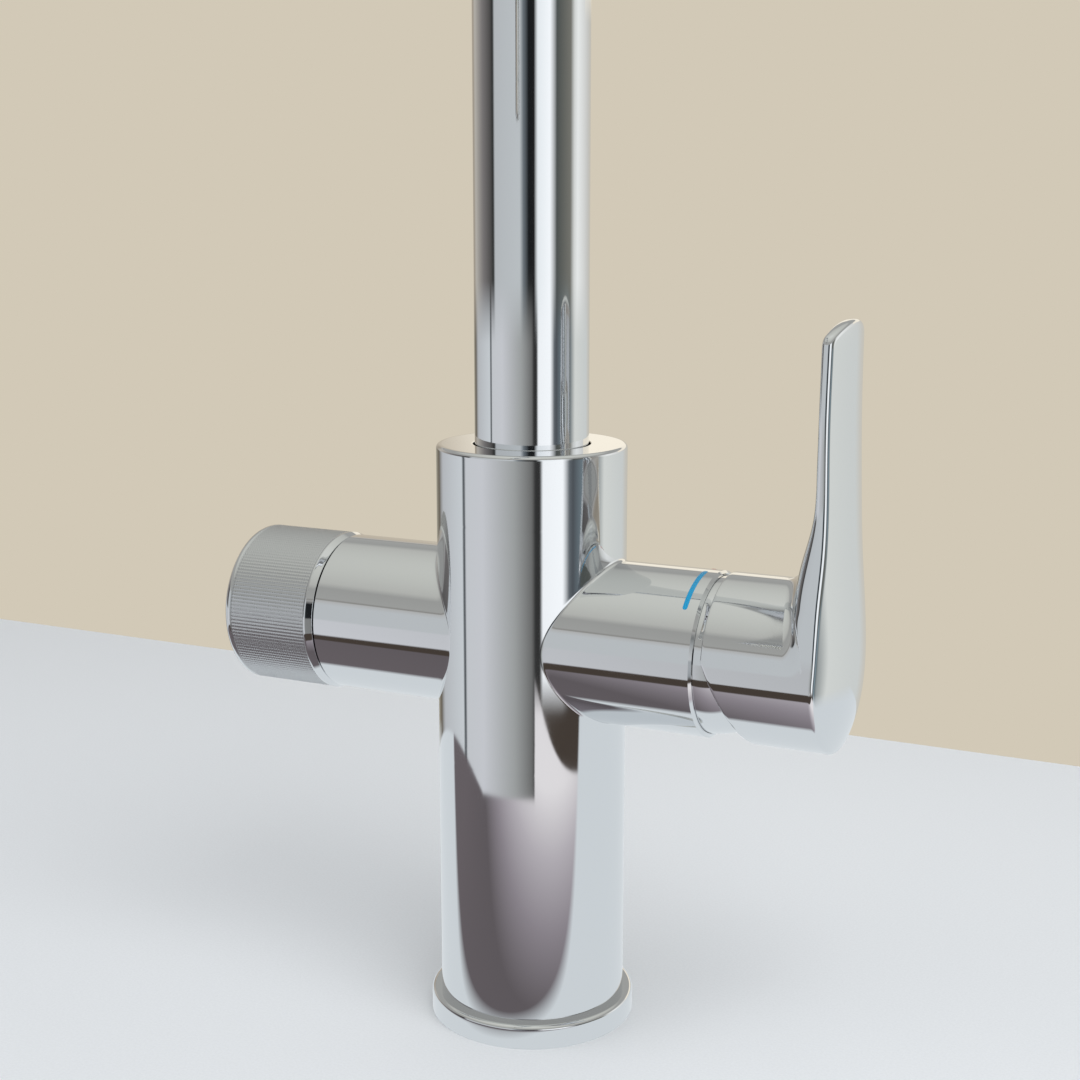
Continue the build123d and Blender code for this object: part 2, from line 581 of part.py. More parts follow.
# The rotor turns with the lever: a flange in the housing, and a neck that forks round the spindle
SLOT_WIDTH = CARRIER_BOSS_WIDTH + 2 * LOOSE_FIT
SLOT_HEIGHT = CARRIER_BOSS_HEIGHT - 2 * DISC_OFFSET + 6 * LOOSE_FIT
SLOT_END = BOSS_END + 8 * LOOSE_FIT
NECK_END = PIVOT + ROTOR_NECK_OVER_PIVOT
FORK_WIDTH = SPINDLE_SQUARE + 2 * LOOSE_FIT
FORK_HEIGHT = SPINDLE_SQUARE / cos(radians(REST_TILT)) + 2 * (
    ROTOR_NECK_OVER_PIVOT * sin(radians(REST_TILT)) + 4 * LOOSE_FIT
)
with BuildPart() as mixer_rotor:
    turned(right_of(ROTOR_PLACE), ROTOR_DISC_RADIUS, ROTOR_DISC_THICKNESS)
    turned(right_of(ROTOR_SHOULDER), ROTOR_NECK_RADIUS, NECK_END - ROTOR_SHOULDER)
    blocked(
        right_of(ROTOR_PLACE), SLOT_WIDTH, SLOT_HEIGHT, SLOT_END - ROTOR_PLACE, mode=Mode.SUBTRACT
    )
    blocked(right_of(SLOT_END), FORK_WIDTH, FORK_HEIGHT, NECK_END - SLOT_END, mode=Mode.SUBTRACT)
    with BuildSketch(Plane.XZ):
        with Locations((PIVOT, ARM_HEIGHT)):
            Circle(PIVOT_PIN_RADIUS + PRESS_FIT)
    extrude(amount=ROTOR_NECK_RADIUS, both=True, mode=Mode.SUBTRACT)
finish(mixer_rotor, "mixer_rotor")

with BuildPart() as pivot_pin:
    with BuildSketch(Plane.XZ):
        with Locations((PIVOT, ARM_HEIGHT)):
            Circle(PIVOT_PIN_RADIUS)
    extrude(amount=ROTOR_NECK_RADIUS - PIVOT_PIN_INSET, both=True)
finish(pivot_pin, "pivot_pin")

with BuildPart() as mixer_ring_nut:
    turned(
        right_of(MOUTH_FLOOR),
        MOUTH_RADIUS - LOOSE_FIT,
        RING_NUT_THICKNESS,
        bore=HOUSING_NECK_RADIUS + LOOSE_FIT,
    )
    with BuildSketch(right_of(MOUTH_FLOOR + RING_NUT_THICKNESS / 2)):
        with PolarLocations(MOUTH_RADIUS, RING_NUT_SLOTS):
            Rectangle(2 * RING_NUT_SLOT, RING_NUT_SLOT)
    extrude(amount=RING_NUT_THICKNESS / 2, mode=Mode.SUBTRACT)
finish(mixer_ring_nut, "mixer_ring_nut")

# Polished dome over the cartridge, a shell about the pivot with a skirt down to the ring nut
DOME_SKIRT = MOUTH_DEPTH - RING_NUT_THICKNESS
with BuildPart() as mixer_dome:
    with BuildSketch(Plane.XZ):
        with Locations((PIVOT, ARM_HEIGHT)):
            with Locations((-DOME_SKIRT / 2, DOME_RADIUS / 2)):
                Rectangle(DOME_SKIRT, DOME_RADIUS)
            Circle(DOME_RADIUS)
            with Locations((-DOME_SKIRT / 2, (DOME_RADIUS - DOME_WALL) / 2)):
                Rectangle(DOME_SKIRT, DOME_RADIUS - DOME_WALL, mode=Mode.SUBTRACT)
            Circle(DOME_RADIUS - DOME_WALL, mode=Mode.SUBTRACT)
            with Locations((-DOME_SKIRT - DOME_RADIUS, 0)):
                Rectangle(2 * DOME_RADIUS, 4 * DOME_RADIUS, mode=Mode.SUBTRACT)
            with Locations((0, -DOME_RADIUS + DOME_OPENING)):
                Rectangle(4 * DOME_RADIUS, 2 * DOME_RADIUS, mode=Mode.SUBTRACT)
    revolve(axis=ARM_AXIS)
finish(mixer_dome, "mixer_dome")

# Lever spindle: a square bar with a pivot hole, a stem and the ball that shifts the disc carrier
with BuildPart() as lever_spindle:
    block_length = SPINDLE_BLOCK_BEHIND_PIVOT + SPINDLE_REACH
    blocked(on_spindle(-SPINDLE_BLOCK_BEHIND_PIVOT), SPINDLE_SQUARE, SPINDLE_SQUARE, block_length)
    chamfer(lever_spindle.faces().sort_by(Axis.X)[-1].edges(), SPINDLE_CHAMFER)
    turned(on_spindle(-BALL_DISTANCE), STEM_RADIUS, BALL_DISTANCE - SPINDLE_BLOCK_BEHIND_PIVOT)
    with Locations((BALL_PLACE, 0, ARM_HEIGHT + DISC_OFFSET)):
        Sphere(BALL_RADIUS)
    with BuildSketch(Plane.XZ):
        with Locations((PIVOT, ARM_HEIGHT)):
            Circle(PIVOT_PIN_RADIUS + RUNNING_FIT)
    extrude(amount=SPINDLE_SQUARE, both=True, mode=Mode.SUBTRACT)
finish(lever_spindle, "lever_spindle")

# The lever: a teardrop outline, dished behind the blade, under one turned front face
LEVER_PLACE = RIGHT_ARM_REACH + LEVER_GAP
LEVER_AXIS_PLACE = RIGHT_ARM_REACH + LEVER_FACE_AXIS
LEVER_FRONT = LEVER_AXIS_PLACE + LEVER_FACE_BULGE + LEVER_STOCK
BLADE_BACK = RIGHT_ARM_REACH + LEVER_BLADE_INNER
BLEND_PLACE = RIGHT_ARM_REACH + LEVER_BLEND_START
LEVER_CAVITY = DOME_RADIUS + LEVER_DOME_GAP
TIP_SIDE = LEVER_HEIGHT - LEVER_TIP_CROWN
FLANK_COSINE = cos(radians(LEVER_FLANK_START))
FLANK_SINE = sin(radians(LEVER_FLANK_START))
LEVER_PLUG_PLACE = ARM_RADIUS + LEVER_SCREW_PLACE * sin(radians(REST_TILT)) - LEVER_PLUG_LENGTH
with BuildPart() as lever:
    with BuildSketch(right_of(LEVER_PLACE)):
        Circle(ARM_RADIUS)
        with BuildLine():
            flank = Spline(
                (ARM_RADIUS * FLANK_COSINE, ARM_RADIUS * FLANK_SINE),
                (LEVER_WAIST_HALF_WIDTH, LEVER_WAIST_HEIGHT),
                (LEVER_TIP_HALF_WIDTH, TIP_SIDE),
                tangents=((-FLANK_SINE, FLANK_COSINE), (-0.03, 1)),
            )
            crown = ThreePointArc(flank @ 1, (0, LEVER_HEIGHT), (-LEVER_TIP_HALF_WIDTH, TIP_SIDE))
            mirror(flank, Plane.YZ)
            Line(flank @ 0, (-(flank @ 0).X, (flank @ 0).Y))
        make_face()
    extrude(amount=LEVER_FRONT - LEVER_PLACE)
    tip_corners = lever.edges().filter_by(Axis.X).sort_by(Axis.Z)[-2:]
    fillet(tip_corners, LEVER_TIP_CORNER)
    # Clear the back of the blade down to the hub with one sweep of a concave profile round the hub
    with BuildSketch(Plane.XZ):
        with BuildLine():
            hub_line = Line(
                (LEVER_PLACE - OVERCUT, ARM_HEIGHT + ARM_RADIUS),
                (BLEND_PLACE, ARM_HEIGHT + ARM_RADIUS),
            )
            blend = Spline(
                hub_line @ 1,
                (
                    BLADE_BACK - LEVER_BLEND_SAG_DEPTH,
                    ARM_HEIGHT + ARM_RADIUS + LEVER_BLEND_SAG_HEIGHT,
                ),
                (BLADE_BACK, ARM_HEIGHT + ARM_RADIUS + LEVER_BLEND_HEIGHT),
                tangents=((1, 0.35), (0.03, 1)),
            )
            Polyline(
                blend @ 1,
                (BLADE_BACK, ARM_HEIGHT + 2 * LEVER_HEIGHT),
                (LEVER_PLACE - OVERCUT, ARM_HEIGHT + 2 * LEVER_HEIGHT),
                hub_line @ 0,
            )
        make_face()
    revolve(axis=ARM_AXIS, mode=Mode.SUBTRACT)
    # Front face, turned about a vertical axis inside the hub
    with BuildSketch(Plane.XZ):
        with BuildLine():
            front = Spline(
                (LEVER_AXIS_PLACE + LEVER_FACE_TOP, ARM_HEIGHT + LEVER_HEIGHT + LEVER_FACE_OVERRUN),
                (LEVER_AXIS_PLACE + LEVER_FACE_MIDDLE, ARM_HEIGHT + LEVER_FACE_MIDDLE_HEIGHT),
                (LEVER_AXIS_PLACE + LEVER_FACE_SHOULDER, ARM_HEIGHT + LEVER_FACE_SHOULDER_HEIGHT),
                (LEVER_AXIS_PLACE + LEVER_FACE_BULGE, ARM_HEIGHT - LEVER_FACE_BULGE_DROP),
                (LEVER_AXIS_PLACE + LEVER_FACE_FOOT, ARM_HEIGHT - ARM_RADIUS - LEVER_FACE_OVERRUN),
            )
            Polyline(
                front @ 1,
                (LEVER_AXIS_PLACE, (front @ 1).Y),
                (LEVER_AXIS_PLACE, (front @ 0).Y),
                front @ 0,
            )
        make_face()
    revolve(axis=Axis((LEVER_AXIS_PLACE, 0, 0), (0, 0, 1)), mode=Mode.INTERSECT)
    fillet(lever.faces().sort_by(Axis.X)[-1].edges(), LEVER_EDGE)
    # Hollow over the dome, and the slanted cut that lets the hub tilt towards the arm
    with Locations((PIVOT, 0, ARM_HEIGHT)):
        Sphere(LEVER_CAVITY, mode=Mode.SUBTRACT)
    cut_rise = LEVER_CUT_FLOOR / tan(radians(LEVER_CUT_ANGLE))
    with BuildSketch(Plane.XZ):
        with BuildLine():
            Polyline(
                (LEVER_PLACE, ARM_HEIGHT + LEVER_CUT_START),
                (PIVOT + LEVER_CUT_FLOOR, ARM_HEIGHT + LEVER_CUT_START - cut_rise),
                (PIVOT + LEVER_CUT_FLOOR, ARM_HEIGHT - 2 * ARM_RADIUS),
                (PIVOT - LEVER_CUT_FLOOR, ARM_HEIGHT - 2 * ARM_RADIUS),
                (PIVOT - LEVER_CUT_FLOOR, ARM_HEIGHT + LEVER_CUT_START),
                close=True,
            )
        make_face()
    extrude(amount=2 * ARM_RADIUS, both=True, mode=Mode.SUBTRACT)
    # Square socket for the spindle, with the grub screw's thread and the plug's seat below it
    socket = SPINDLE_SQUARE + 2 * LOOSE_FIT
    blocked(on_spindle(0), socket, socket, SPINDLE_REACH + 3 * LOOSE_FIT, mode=Mode.SUBTRACT)
    turned(under_spindle(0), LEVER_SCREW_RADIUS + PRESS_FIT, 2 * ARM_RADIUS, mode=Mode.SUBTRACT)
    turned(
        under_spindle(LEVER_PLUG_PLACE),
        LEVER_PLUG_RADIUS + PRESS_FIT,
        ARM_RADIUS,
        mode=Mode.SUBTRACT,
    )
finish(lever, "lever")

with BuildPart() as lever_screw:
    turned(under_spindle(SPINDLE_SQUARE / 2), LEVER_SCREW_RADIUS, LEVER_SCREW_LENGTH)
    hexagonal(
        under_spindle(SPINDLE_SQUARE / 2 + LEVER_SCREW_LENGTH / 2),
        LEVER_SCREW_RADIUS,
        LEVER_SCREW_LENGTH / 2,
        mode=Mode.SUBTRACT,
    )
finish(lever_screw, "lever_screw")

with BuildPart() as lever_plug:
    turned(under_spindle(LEVER_PLUG_PLACE), LEVER_PLUG_RADIUS, LEVER_PLUG_LENGTH)
finish(lever_plug, "lever_plug")

# Filtered-water valve: a quarter-turn headwork with two ceramic discs
with BuildPart() as filter_seat_seal:
    turned(left_of(VALVE_SEAT), SEAT_SEAL_RADIUS, SEAT_SEAL_THICKNESS, bore=CHANNEL_RADIUS)
finish(filter_seat_seal, "filter_seat_seal")

SPINDLE_BORE = SPINDLE_RADIUS + RUNNING_FIT
SPINDLE_FLOOR = SPINDLE_FOOT_END + 2 * LOOSE_FIT
THREAD_LENGTH = VALVE_SHOULDER - VALVE_THREAD_PLACE
with BuildPart() as filter_valve_body:
    turned(left_of(VALVE_BARREL_PLACE), VALVE_BARREL_RADIUS, VALVE_BARREL_LENGTH)
    turned(left_of(VALVE_THREAD_PLACE), VALVE_BORE - PRESS_FIT, THREAD_LENGTH)
    hexagonal(left_of(VALVE_SHOULDER), VALVE_COLLAR_ACROSS_FLATS, VALVE_COLLAR_THICKNESS)
    turned(left_of(VALVE_NECK_PLACE), VALVE_NECK_RADIUS, VALVE_NECK_LENGTH)
    # Chamber of the discs, the spindle's bore and the seal's groove under the collar
    barrel_depth = SPINDLE_FLOOR - VALVE_BARREL_PLACE
    turned(left_of(VALVE_BARREL_PLACE), VALVE_BARREL_BORE, barrel_depth, mode=Mode.SUBTRACT)
    turned(
        left_of(SPINDLE_FLOOR), SPINDLE_BORE, VALVE_NECK_END - SPINDLE_FLOOR, mode=Mode.SUBTRACT
    )
    turned(
        left_of(VALVE_SHOULDER - BODY_SEAL_SECTION),
        VALVE_BORE + OVERCUT,
        BODY_SEAL_SECTION,
        bore=VALVE_BORE - BODY_SEAL_SECTION,
        mode=Mode.SUBTRACT,
    )
    # Windows that let the water out through the barrel's wall
    blocked(
        left_of(VALVE_MOVING_DISC_PLACE),
        4 * VALVE_BARREL_RADIUS,
        VALVE_WINDOW,
        VALVE_DISC_THICKNESS,
        mode=Mode.SUBTRACT,
    )
finish(filter_valve_body, "filter_valve_body")

with BuildPart() as filter_body_seal:
    turned(
        left_of(VALVE_SHOULDER - BODY_SEAL_SECTION + SEAL_GAP),
        VALVE_BORE - PRESS_FIT,
        BODY_SEAL_SECTION - 2 * SEAL_GAP,
        bore=VALVE_BORE - BODY_SEAL_SECTION + SEAL_GAP,
    )
finish(filter_body_seal, "filter_body_seal")


def valve_disc(plane, turn):
    """A ceramic disc with two rounded ports, turned so that two such discs open or shut."""
    with BuildSketch(plane) as section:
        Circle(VALVE_DISC_RADIUS)
        with PolarLocations(VALVE_PORT_PLACE, 2, start_angle=turn):
            RectangleRounded(VALVE_PORT_DEPTH, VALVE_PORT_WIDTH, VALVE_PORT_CORNER, mode=Mode.SUBTRACT)
    extrude(section.sketch, amount=VALVE_DISC_THICKNESS)


with BuildPart() as filter_fixed_disc:
    valve_disc(left_of(VALVE_BARREL_PLACE), 0)
finish(filter_fixed_disc, "filter_fixed_disc")

with BuildPart() as filter_moving_disc:
    valve_disc(left_of(VALVE_MOVING_DISC_PLACE), 90)
finish(filter_moving_disc, "filter_moving_disc")

O_RING_PLACES = [SPINDLE_FLOOR + O_RING_PITCH, SPINDLE_FLOOR + 2 * O_RING_PITCH]
CLIP_SEAT = SPINDLE_RADIUS - CLIP_GROOVE_DEPTH
with BuildPart() as filter_spindle:
    turned(left_of(SPINDLE_FOOT_PLACE), VALVE_DISC_RADIUS, SPINDLE_FOOT_THICKNESS)
    turned(left_of(SPINDLE_FOOT_END), SPINDLE_RADIUS, SPLINE_PLACE - SPINDLE_FOOT_END)
    for place in O_RING_PLACES:
        turned(
            left_of(place),
            SPINDLE_RADIUS + OVERCUT,
            O_RING_SECTION + 2 * SEAL_GAP,
            bore=SPINDLE_RADIUS - O_RING_SECTION,
            mode=Mode.SUBTRACT,
        )
    turned(
        left_of(VALVE_NECK_END),
        SPINDLE_RADIUS + OVERCUT,
        CLIP_THICKNESS + LOOSE_FIT,
        bore=CLIP_SEAT,
        mode=Mode.SUBTRACT,
    )
    with BuildSketch(left_of(SPLINE_PLACE)):
        Circle(SPLINE_RADIUS)
        with PolarLocations(SPLINE_RADIUS, SPLINE_TEETH):
            RegularPolygon(SPLINE_GROOVE, 3, rotation=180, mode=Mode.SUBTRACT)
    extrude(amount=SPLINE_LENGTH)
    turned(
        left_of(SPINDLE_END), KNOB_SCREW_RADIUS + PRESS_FIT, -KNOB_SCREW_LENGTH, mode=Mode.SUBTRACT
    )
finish(filter_spindle, "filter_spindle")

with BuildPart() as spindle_o_rings:
    for place in O_RING_PLACES:
        turned(
            left_of(place + SEAL_GAP),
            SPINDLE_RADIUS,
            O_RING_SECTION,
            bore=SPINDLE_RADIUS - O_RING_SECTION + PRESS_FIT,
        )
finish(spindle_o_rings, "spindle_o_rings")

with BuildPart() as spindle_clip:
    with BuildSketch(left_of(VALVE_NECK_END + SEAL_GAP)):
        Circle(CLIP_RADIUS)
        Circle(CLIP_SEAT + PRESS_FIT, mode=Mode.SUBTRACT)
        # The mouth that lets the clip snap into its groove from above
        Rectangle(CLIP_MOUTH, CLIP_RADIUS, align=(Align.CENTER, Align.MIN), mode=Mode.SUBTRACT)
    extrude(amount=CLIP_THICKNESS)
finish(spindle_clip, "spindle_clip")

# Knob: a turned cup with a web, a collar for the splined insert and a recess for the cap
with BuildPart() as knob:
    turned(left_of(KNOB_PLACE), KNOB_RADIUS, KNOB_LENGTH)
    rims = knob.edges().filter_by(GeomType.CIRCLE)
    chamfer(rims.sort_by(Axis.X)[-1], KNOB_INNER_CHAMFER, KNOB_INNER_BAND)
    fillet(rims.sort_by(Axis.X)[0], KNOB_OUTER_EDGE)
    turned(
        left_of(KNOB_PLACE),
        KNOB_RADIUS - KNOB_WALL,
        KNOB_CUP_DEPTH,
        mode=Mode.SUBTRACT,
    )
    turned(left_of(KNOB_WEB_PLACE), KNOB_COLLAR_RADIUS, -KNOB_COLLAR_LENGTH)
    turned(
        left_of(KNOB_WEB_PLACE), INSERT_RADIUS + PRESS_FIT, -KNOB_COLLAR_LENGTH, mode=Mode.SUBTRACT
    )
    turned(left_of(KNOB_END), KNOB_CAP_RADIUS + PRESS_FIT, KNOB_WEB_END - KNOB_END, mode=Mode.SUBTRACT)
    turned(
        left_of(KNOB_WEB_PLACE), KNOB_SCREW_RADIUS + LOOSE_FIT, KNOB_WEB, mode=Mode.SUBTRACT
    )
finish(knob, "knob")

with BuildPart() as knob_insert:
    turned(left_of(KNOB_WEB_PLACE), INSERT_RADIUS, -INSERT_LENGTH)
    turned(
        left_of(KNOB_WEB_PLACE), SPLINE_RADIUS + PRESS_FIT, SPINDLE_END - KNOB_WEB_PLACE, mode=Mode.SUBTRACT
    )
    turned(left_of(KNOB_WEB_PLACE - INSERT_LENGTH), SPINDLE_BORE, INSERT_LENGTH, mode=Mode.SUBTRACT)
finish(knob_insert, "knob_insert")

with BuildPart() as knob_screw:
    turned(left_of(KNOB_WEB_END), KNOB_SCREW_HEAD_RADIUS, KNOB_SCREW_HEAD)
    turned(left_of(KNOB_WEB_END), KNOB_SCREW_RADIUS, -KNOB_SCREW_LENGTH)
    hexagonal(
        left_of(KNOB_WEB_END + KNOB_SCREW_SOCKET_FLOOR),
        KNOB_SCREW_HEAD_RADIUS,
        KNOB_SCREW_HEAD,
        mode=Mode.SUBTRACT,
    )
finish(knob_screw, "knob_screw")

with BuildPart() as knob_cap:
    turned(left_of(KNOB_END), KNOB_CAP_RADIUS, -KNOB_CAP_THICKNESS)
finish(knob_cap, "knob_cap")

# Foot of the spout: turns in the column's bore on slide rings, sealed by O-rings
UPPER_RING_PLACE = SPOUT_TUBE_PLACE - SLIDE_RING_INSET - SLIDE_RING_WIDTH
LOWER_RING_PLACE = SPOUT_FOOT_PLACE
LOWER_O_RING_PLACE = SPOUT_FOOT_PLACE + LOWER_O_RING_RISE
UPPER_O_RING_PLACE = STOP_GROOVE_PLACE + UPPER_O_RING_RISE
STOP_ARC = SWIVEL_HALF_ANGLE + STOP_GROOVE_MARGIN
with BuildPart() as spout_foot:
    turned(level(SPOUT_FOOT_PLACE), SPOUT_FOOT_RADIUS, SPOUT_FOOT_LENGTH)
    turned(level(SPOUT_TUBE_PLACE), SPOUT_BORE_OF_TUBE - PRESS_FIT, SPOUT_SPIGOT)
    turned(
        level(SPOUT_FOOT_PLACE), SPOUT_FOOT_BORE, SPOUT_FOOT_LENGTH + SPOUT_SPIGOT, mode=Mode.SUBTRACT
    )
    for place in (UPPER_RING_PLACE, LOWER_RING_PLACE):
        turned(
            level(place - SEAL_GAP),
            SPOUT_BORE,
            SLIDE_RING_WIDTH + 2 * SEAL_GAP,
            bore=SPOUT_BORE - SLIDE_RING_THICKNESS,
            mode=Mode.SUBTRACT,
        )
    for place in (LOWER_O_RING_PLACE, UPPER_O_RING_PLACE):
        turned(
            level(place - SEAL_GAP),
            SPOUT_BORE,
            SPOUT_O_RING_SECTION + 2 * SEAL_GAP,
            bore=SPOUT_BORE - SPOUT_O_RING_SECTION - LOOSE_FIT,
            mode=Mode.SUBTRACT,
        )
    # Groove that the stop screw runs in, open over the swivel at the back
    with BuildSketch(level(STOP_GROOVE_PLACE - STOP_GROOVE_WIDTH / 2)):
        with BuildLine():
            groove = CenterArc((0, 0), SPOUT_BORE, 90 - STOP_ARC, 2 * STOP_ARC)
            floor = CenterArc((0, 0), SPOUT_FOOT_RADIUS - STOP_GROOVE_DEPTH, 90 - STOP_ARC, 2 * STOP_ARC)
            Line(groove @ 0, floor @ 0)
            Line(groove @ 1, floor @ 1)
        make_face()
    extrude(amount=STOP_GROOVE_WIDTH, mode=Mode.SUBTRACT)
finish(spout_foot, "spout_foot")

with BuildPart() as spout_slide_rings:
    for place in (UPPER_RING_PLACE, LOWER_RING_PLACE):
        turned(
            level(place),
            SPOUT_BORE - RUNNING_FIT,
            SLIDE_RING_WIDTH,
            bore=SPOUT_BORE - SLIDE_RING_THICKNESS + PRESS_FIT,
        )
finish(spout_slide_rings, "spout_slide_rings")

with BuildPart() as spout_o_rings:
    for place in (LOWER_O_RING_PLACE, UPPER_O_RING_PLACE):
        turned(
            level(place),
            SPOUT_BORE - RUNNING_FIT,
            SPOUT_O_RING_SECTION,
            bore=SPOUT_BORE - SPOUT_O_RING_SECTION,
        )
finish(spout_o_rings, "spout_o_rings")

with BuildPart() as swivel_stop_screw:
    with BuildSketch(Plane.XZ.offset(STOP_SCREW_INSET - COLUMN_RADIUS)):
        with Locations((0, STOP_GROOVE_PLACE)):
            Circle(STOP_SCREW_RADIUS - PRESS_FIT)
    screw_reach = COLUMN_RADIUS - STOP_SCREW_INSET - SPOUT_FOOT_RADIUS
    extrude(amount=screw_reach + STOP_GROOVE_DEPTH / 2)
finish(swivel_stop_screw, "swivel_stop_screw")


def spout_path(start, end):
    """The spout's centre line: up from a height, round a half circle towards the user, down to a height."""
    with BuildLine(Plane.YZ) as path:
        rise = Line((0, start), (0, BEND_HEIGHT))
        bend = CenterArc((-SPOUT_BEND_RADIUS, BEND_HEIGHT), SPOUT_BEND_RADIUS, 0, 180)
        Line(bend @ 1, (-SPOUT_REACH, end))
    return path.line


with BuildPart() as spout_tube:
    with BuildSketch(level(SPOUT_TUBE_PLACE)):
        Circle(SPOUT_RADIUS)
        Circle(SPOUT_BORE_OF_TUBE, mode=Mode.SUBTRACT)
    sweep(path=spout_path(SPOUT_TUBE_PLACE, OUTLET_HEIGHT))
finish(spout_tube, "spout_tube")

INNER_TUBE_START = SOCKET_FLOOR + INNER_TUBE_STANDOFF
NOZZLE_PLACE = OUTLET_END + OUTLET_RECESS
NOZZLE_TOP = NOZZLE_PLACE + NOZZLE_LENGTH
with BuildPart() as inner_tube:
    with BuildSketch(level(INNER_TUBE_START)):
        Circle(INNER_TUBE_RADIUS)
        Circle(INNER_TUBE_BORE, mode=Mode.SUBTRACT)
    sweep(path=spout_path(INNER_TUBE_START, NOZZLE_TOP))
finish(inner_tube, "inner_tube")

with BuildPart() as inner_tube_seal:
    turned(
        level(CHAMBER_FLOOR - 2 * INNER_SEAL_HEIGHT),
        INNER_SOCKET_RADIUS - SEAL_GAP,
        INNER_SEAL_HEIGHT,
        bore=INNER_TUBE_RADIUS + PRESS_FIT,
    )
finish(inner_tube_seal, "inner_tube_seal")


def outlet(height):
    """A horizontal plane at a height, centred on the outlet, facing up."""
    return Plane(origin=(0, -SPOUT_REACH, height))


# Outlet ring with its spigot in the tube, the aerator and the nozzle of the filtered water
with BuildPart() as outlet_ring:
    turned(outlet(OUTLET_END), SPOUT_RADIUS, OUTLET_RING_LENGTH)
    chamfer(outlet_ring.edges().sort_by(Axis.Z)[0], OUTLET_RING_EDGE)
    turned(outlet(OUTLET_HEIGHT), SPOUT_BORE_OF_TUBE - LOOSE_FIT, OUTLET_SPIGOT)
    bore_length = OUTLET_RING_LENGTH + OUTLET_SPIGOT
    turned(outlet(OUTLET_END), OUTLET_BORE, bore_length, mode=Mode.SUBTRACT)
    turned(
        outlet(OUTLET_HEIGHT + OUTLET_GROOVE_RISE),
        SPOUT_BORE_OF_TUBE,
        SPOUT_O_RING_SECTION,
        bore=SPOUT_BORE_OF_TUBE - OUTLET_GROOVE_DEPTH,
        mode=Mode.SUBTRACT,
    )
finish(outlet_ring, "outlet_ring")

with BuildPart() as outlet_seal:
    turned(
        outlet(OUTLET_HEIGHT + OUTLET_GROOVE_RISE + SEAL_GAP),
        SPOUT_BORE_OF_TUBE - PRESS_FIT,
        SPOUT_O_RING_SECTION - 2 * SEAL_GAP,
        bore=SPOUT_BORE_OF_TUBE - OUTLET_GROOVE_DEPTH + PRESS_FIT,
    )
finish(outlet_seal, "outlet_seal")

AERATOR_PLACE = OUTLET_END + OUTLET_RECESS
INSERT_PLACE = AERATOR_PLACE + AERATOR_FLANGE
INSERT_SEAT = AERATOR_RADIUS - AERATOR_WALL
NOZZLE_SLEEVE = NOZZLE_RADIUS + PRESS_FIT
with BuildPart() as aerator_housing:
    turned(outlet(AERATOR_PLACE), AERATOR_RADIUS, AERATOR_LENGTH, bore=INSERT_SEAT)
    turned(outlet(AERATOR_PLACE), AERATOR_RADIUS, AERATOR_FLANGE, bore=INSERT_SEAT - AERATOR_WALL)
finish(aerator_housing, "aerator_housing")

with BuildPart() as aerator_insert:
    turned(
        outlet(INSERT_PLACE), INSERT_SEAT - PRESS_FIT, AERATOR_INSERT_LENGTH, bore=NOZZLE_SLEEVE
    )
    with BuildSketch(outlet(INSERT_PLACE)):
        with PolarLocations((INSERT_SEAT + NOZZLE_SLEEVE) / 2, AERATOR_PORTS):
            Circle(AERATOR_PORT_RADIUS)
    extrude(amount=AERATOR_INSERT_LENGTH, mode=Mode.SUBTRACT)
finish(aerator_insert, "aerator_insert")

with BuildPart() as filter_nozzle:
    turned(outlet(NOZZLE_PLACE), NOZZLE_RADIUS, NOZZLE_LENGTH + NOZZLE_SOCKET)
    turned(outlet(NOZZLE_PLACE), NOZZLE_BORE, NOZZLE_LENGTH, mode=Mode.SUBTRACT)
    turned(outlet(NOZZLE_TOP), INNER_TUBE_RADIUS + PRESS_FIT, NOZZLE_SOCKET, mode=Mode.SUBTRACT)
finish(filter_nozzle, "filter_nozzle")
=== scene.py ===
"""Looks of a three-way kitchen tap: polished chrome body, swan-neck spout and mixer lever, and a knurled
satin knob for filtered water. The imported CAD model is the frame. The pieces that show are modelled again
here at a fineness that polished metal needs, in the same places. Sizes in the code are in millimetres."""

import json
import math

import bmesh
import bpy
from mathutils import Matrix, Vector


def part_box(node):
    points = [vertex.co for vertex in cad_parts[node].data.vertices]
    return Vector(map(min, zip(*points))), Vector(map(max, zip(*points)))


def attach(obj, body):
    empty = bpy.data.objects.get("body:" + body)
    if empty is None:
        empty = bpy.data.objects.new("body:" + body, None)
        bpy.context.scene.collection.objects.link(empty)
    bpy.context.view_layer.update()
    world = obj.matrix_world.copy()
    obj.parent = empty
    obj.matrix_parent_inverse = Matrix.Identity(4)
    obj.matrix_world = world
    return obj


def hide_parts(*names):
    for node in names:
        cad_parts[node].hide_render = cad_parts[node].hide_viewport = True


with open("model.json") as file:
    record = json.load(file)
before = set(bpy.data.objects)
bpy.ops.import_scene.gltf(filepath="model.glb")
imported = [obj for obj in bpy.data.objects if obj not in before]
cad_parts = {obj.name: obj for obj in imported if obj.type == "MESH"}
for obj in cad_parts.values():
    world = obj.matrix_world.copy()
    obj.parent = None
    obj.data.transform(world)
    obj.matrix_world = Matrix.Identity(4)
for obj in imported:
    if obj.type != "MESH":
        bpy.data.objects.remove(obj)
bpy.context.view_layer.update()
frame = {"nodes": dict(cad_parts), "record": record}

bl_info = {
    "name": "Three-way kitchen tap",
    "version": (1, 0, 0),
    "blender": (4, 5, 0),
    "location": "3D View > Sidebar > Tap",
    "description": "Models the visible pieces of a kitchen tap on its CAD frame, with their finishes",
    "category": "Add Mesh",
}

MM = 0.001
WELD = 0.002
SMOOTH_ANGLE = 32.0
EDGE_SUPPORT = 0.4
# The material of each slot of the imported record, filled in by the finishes operator
FINISHES = {}


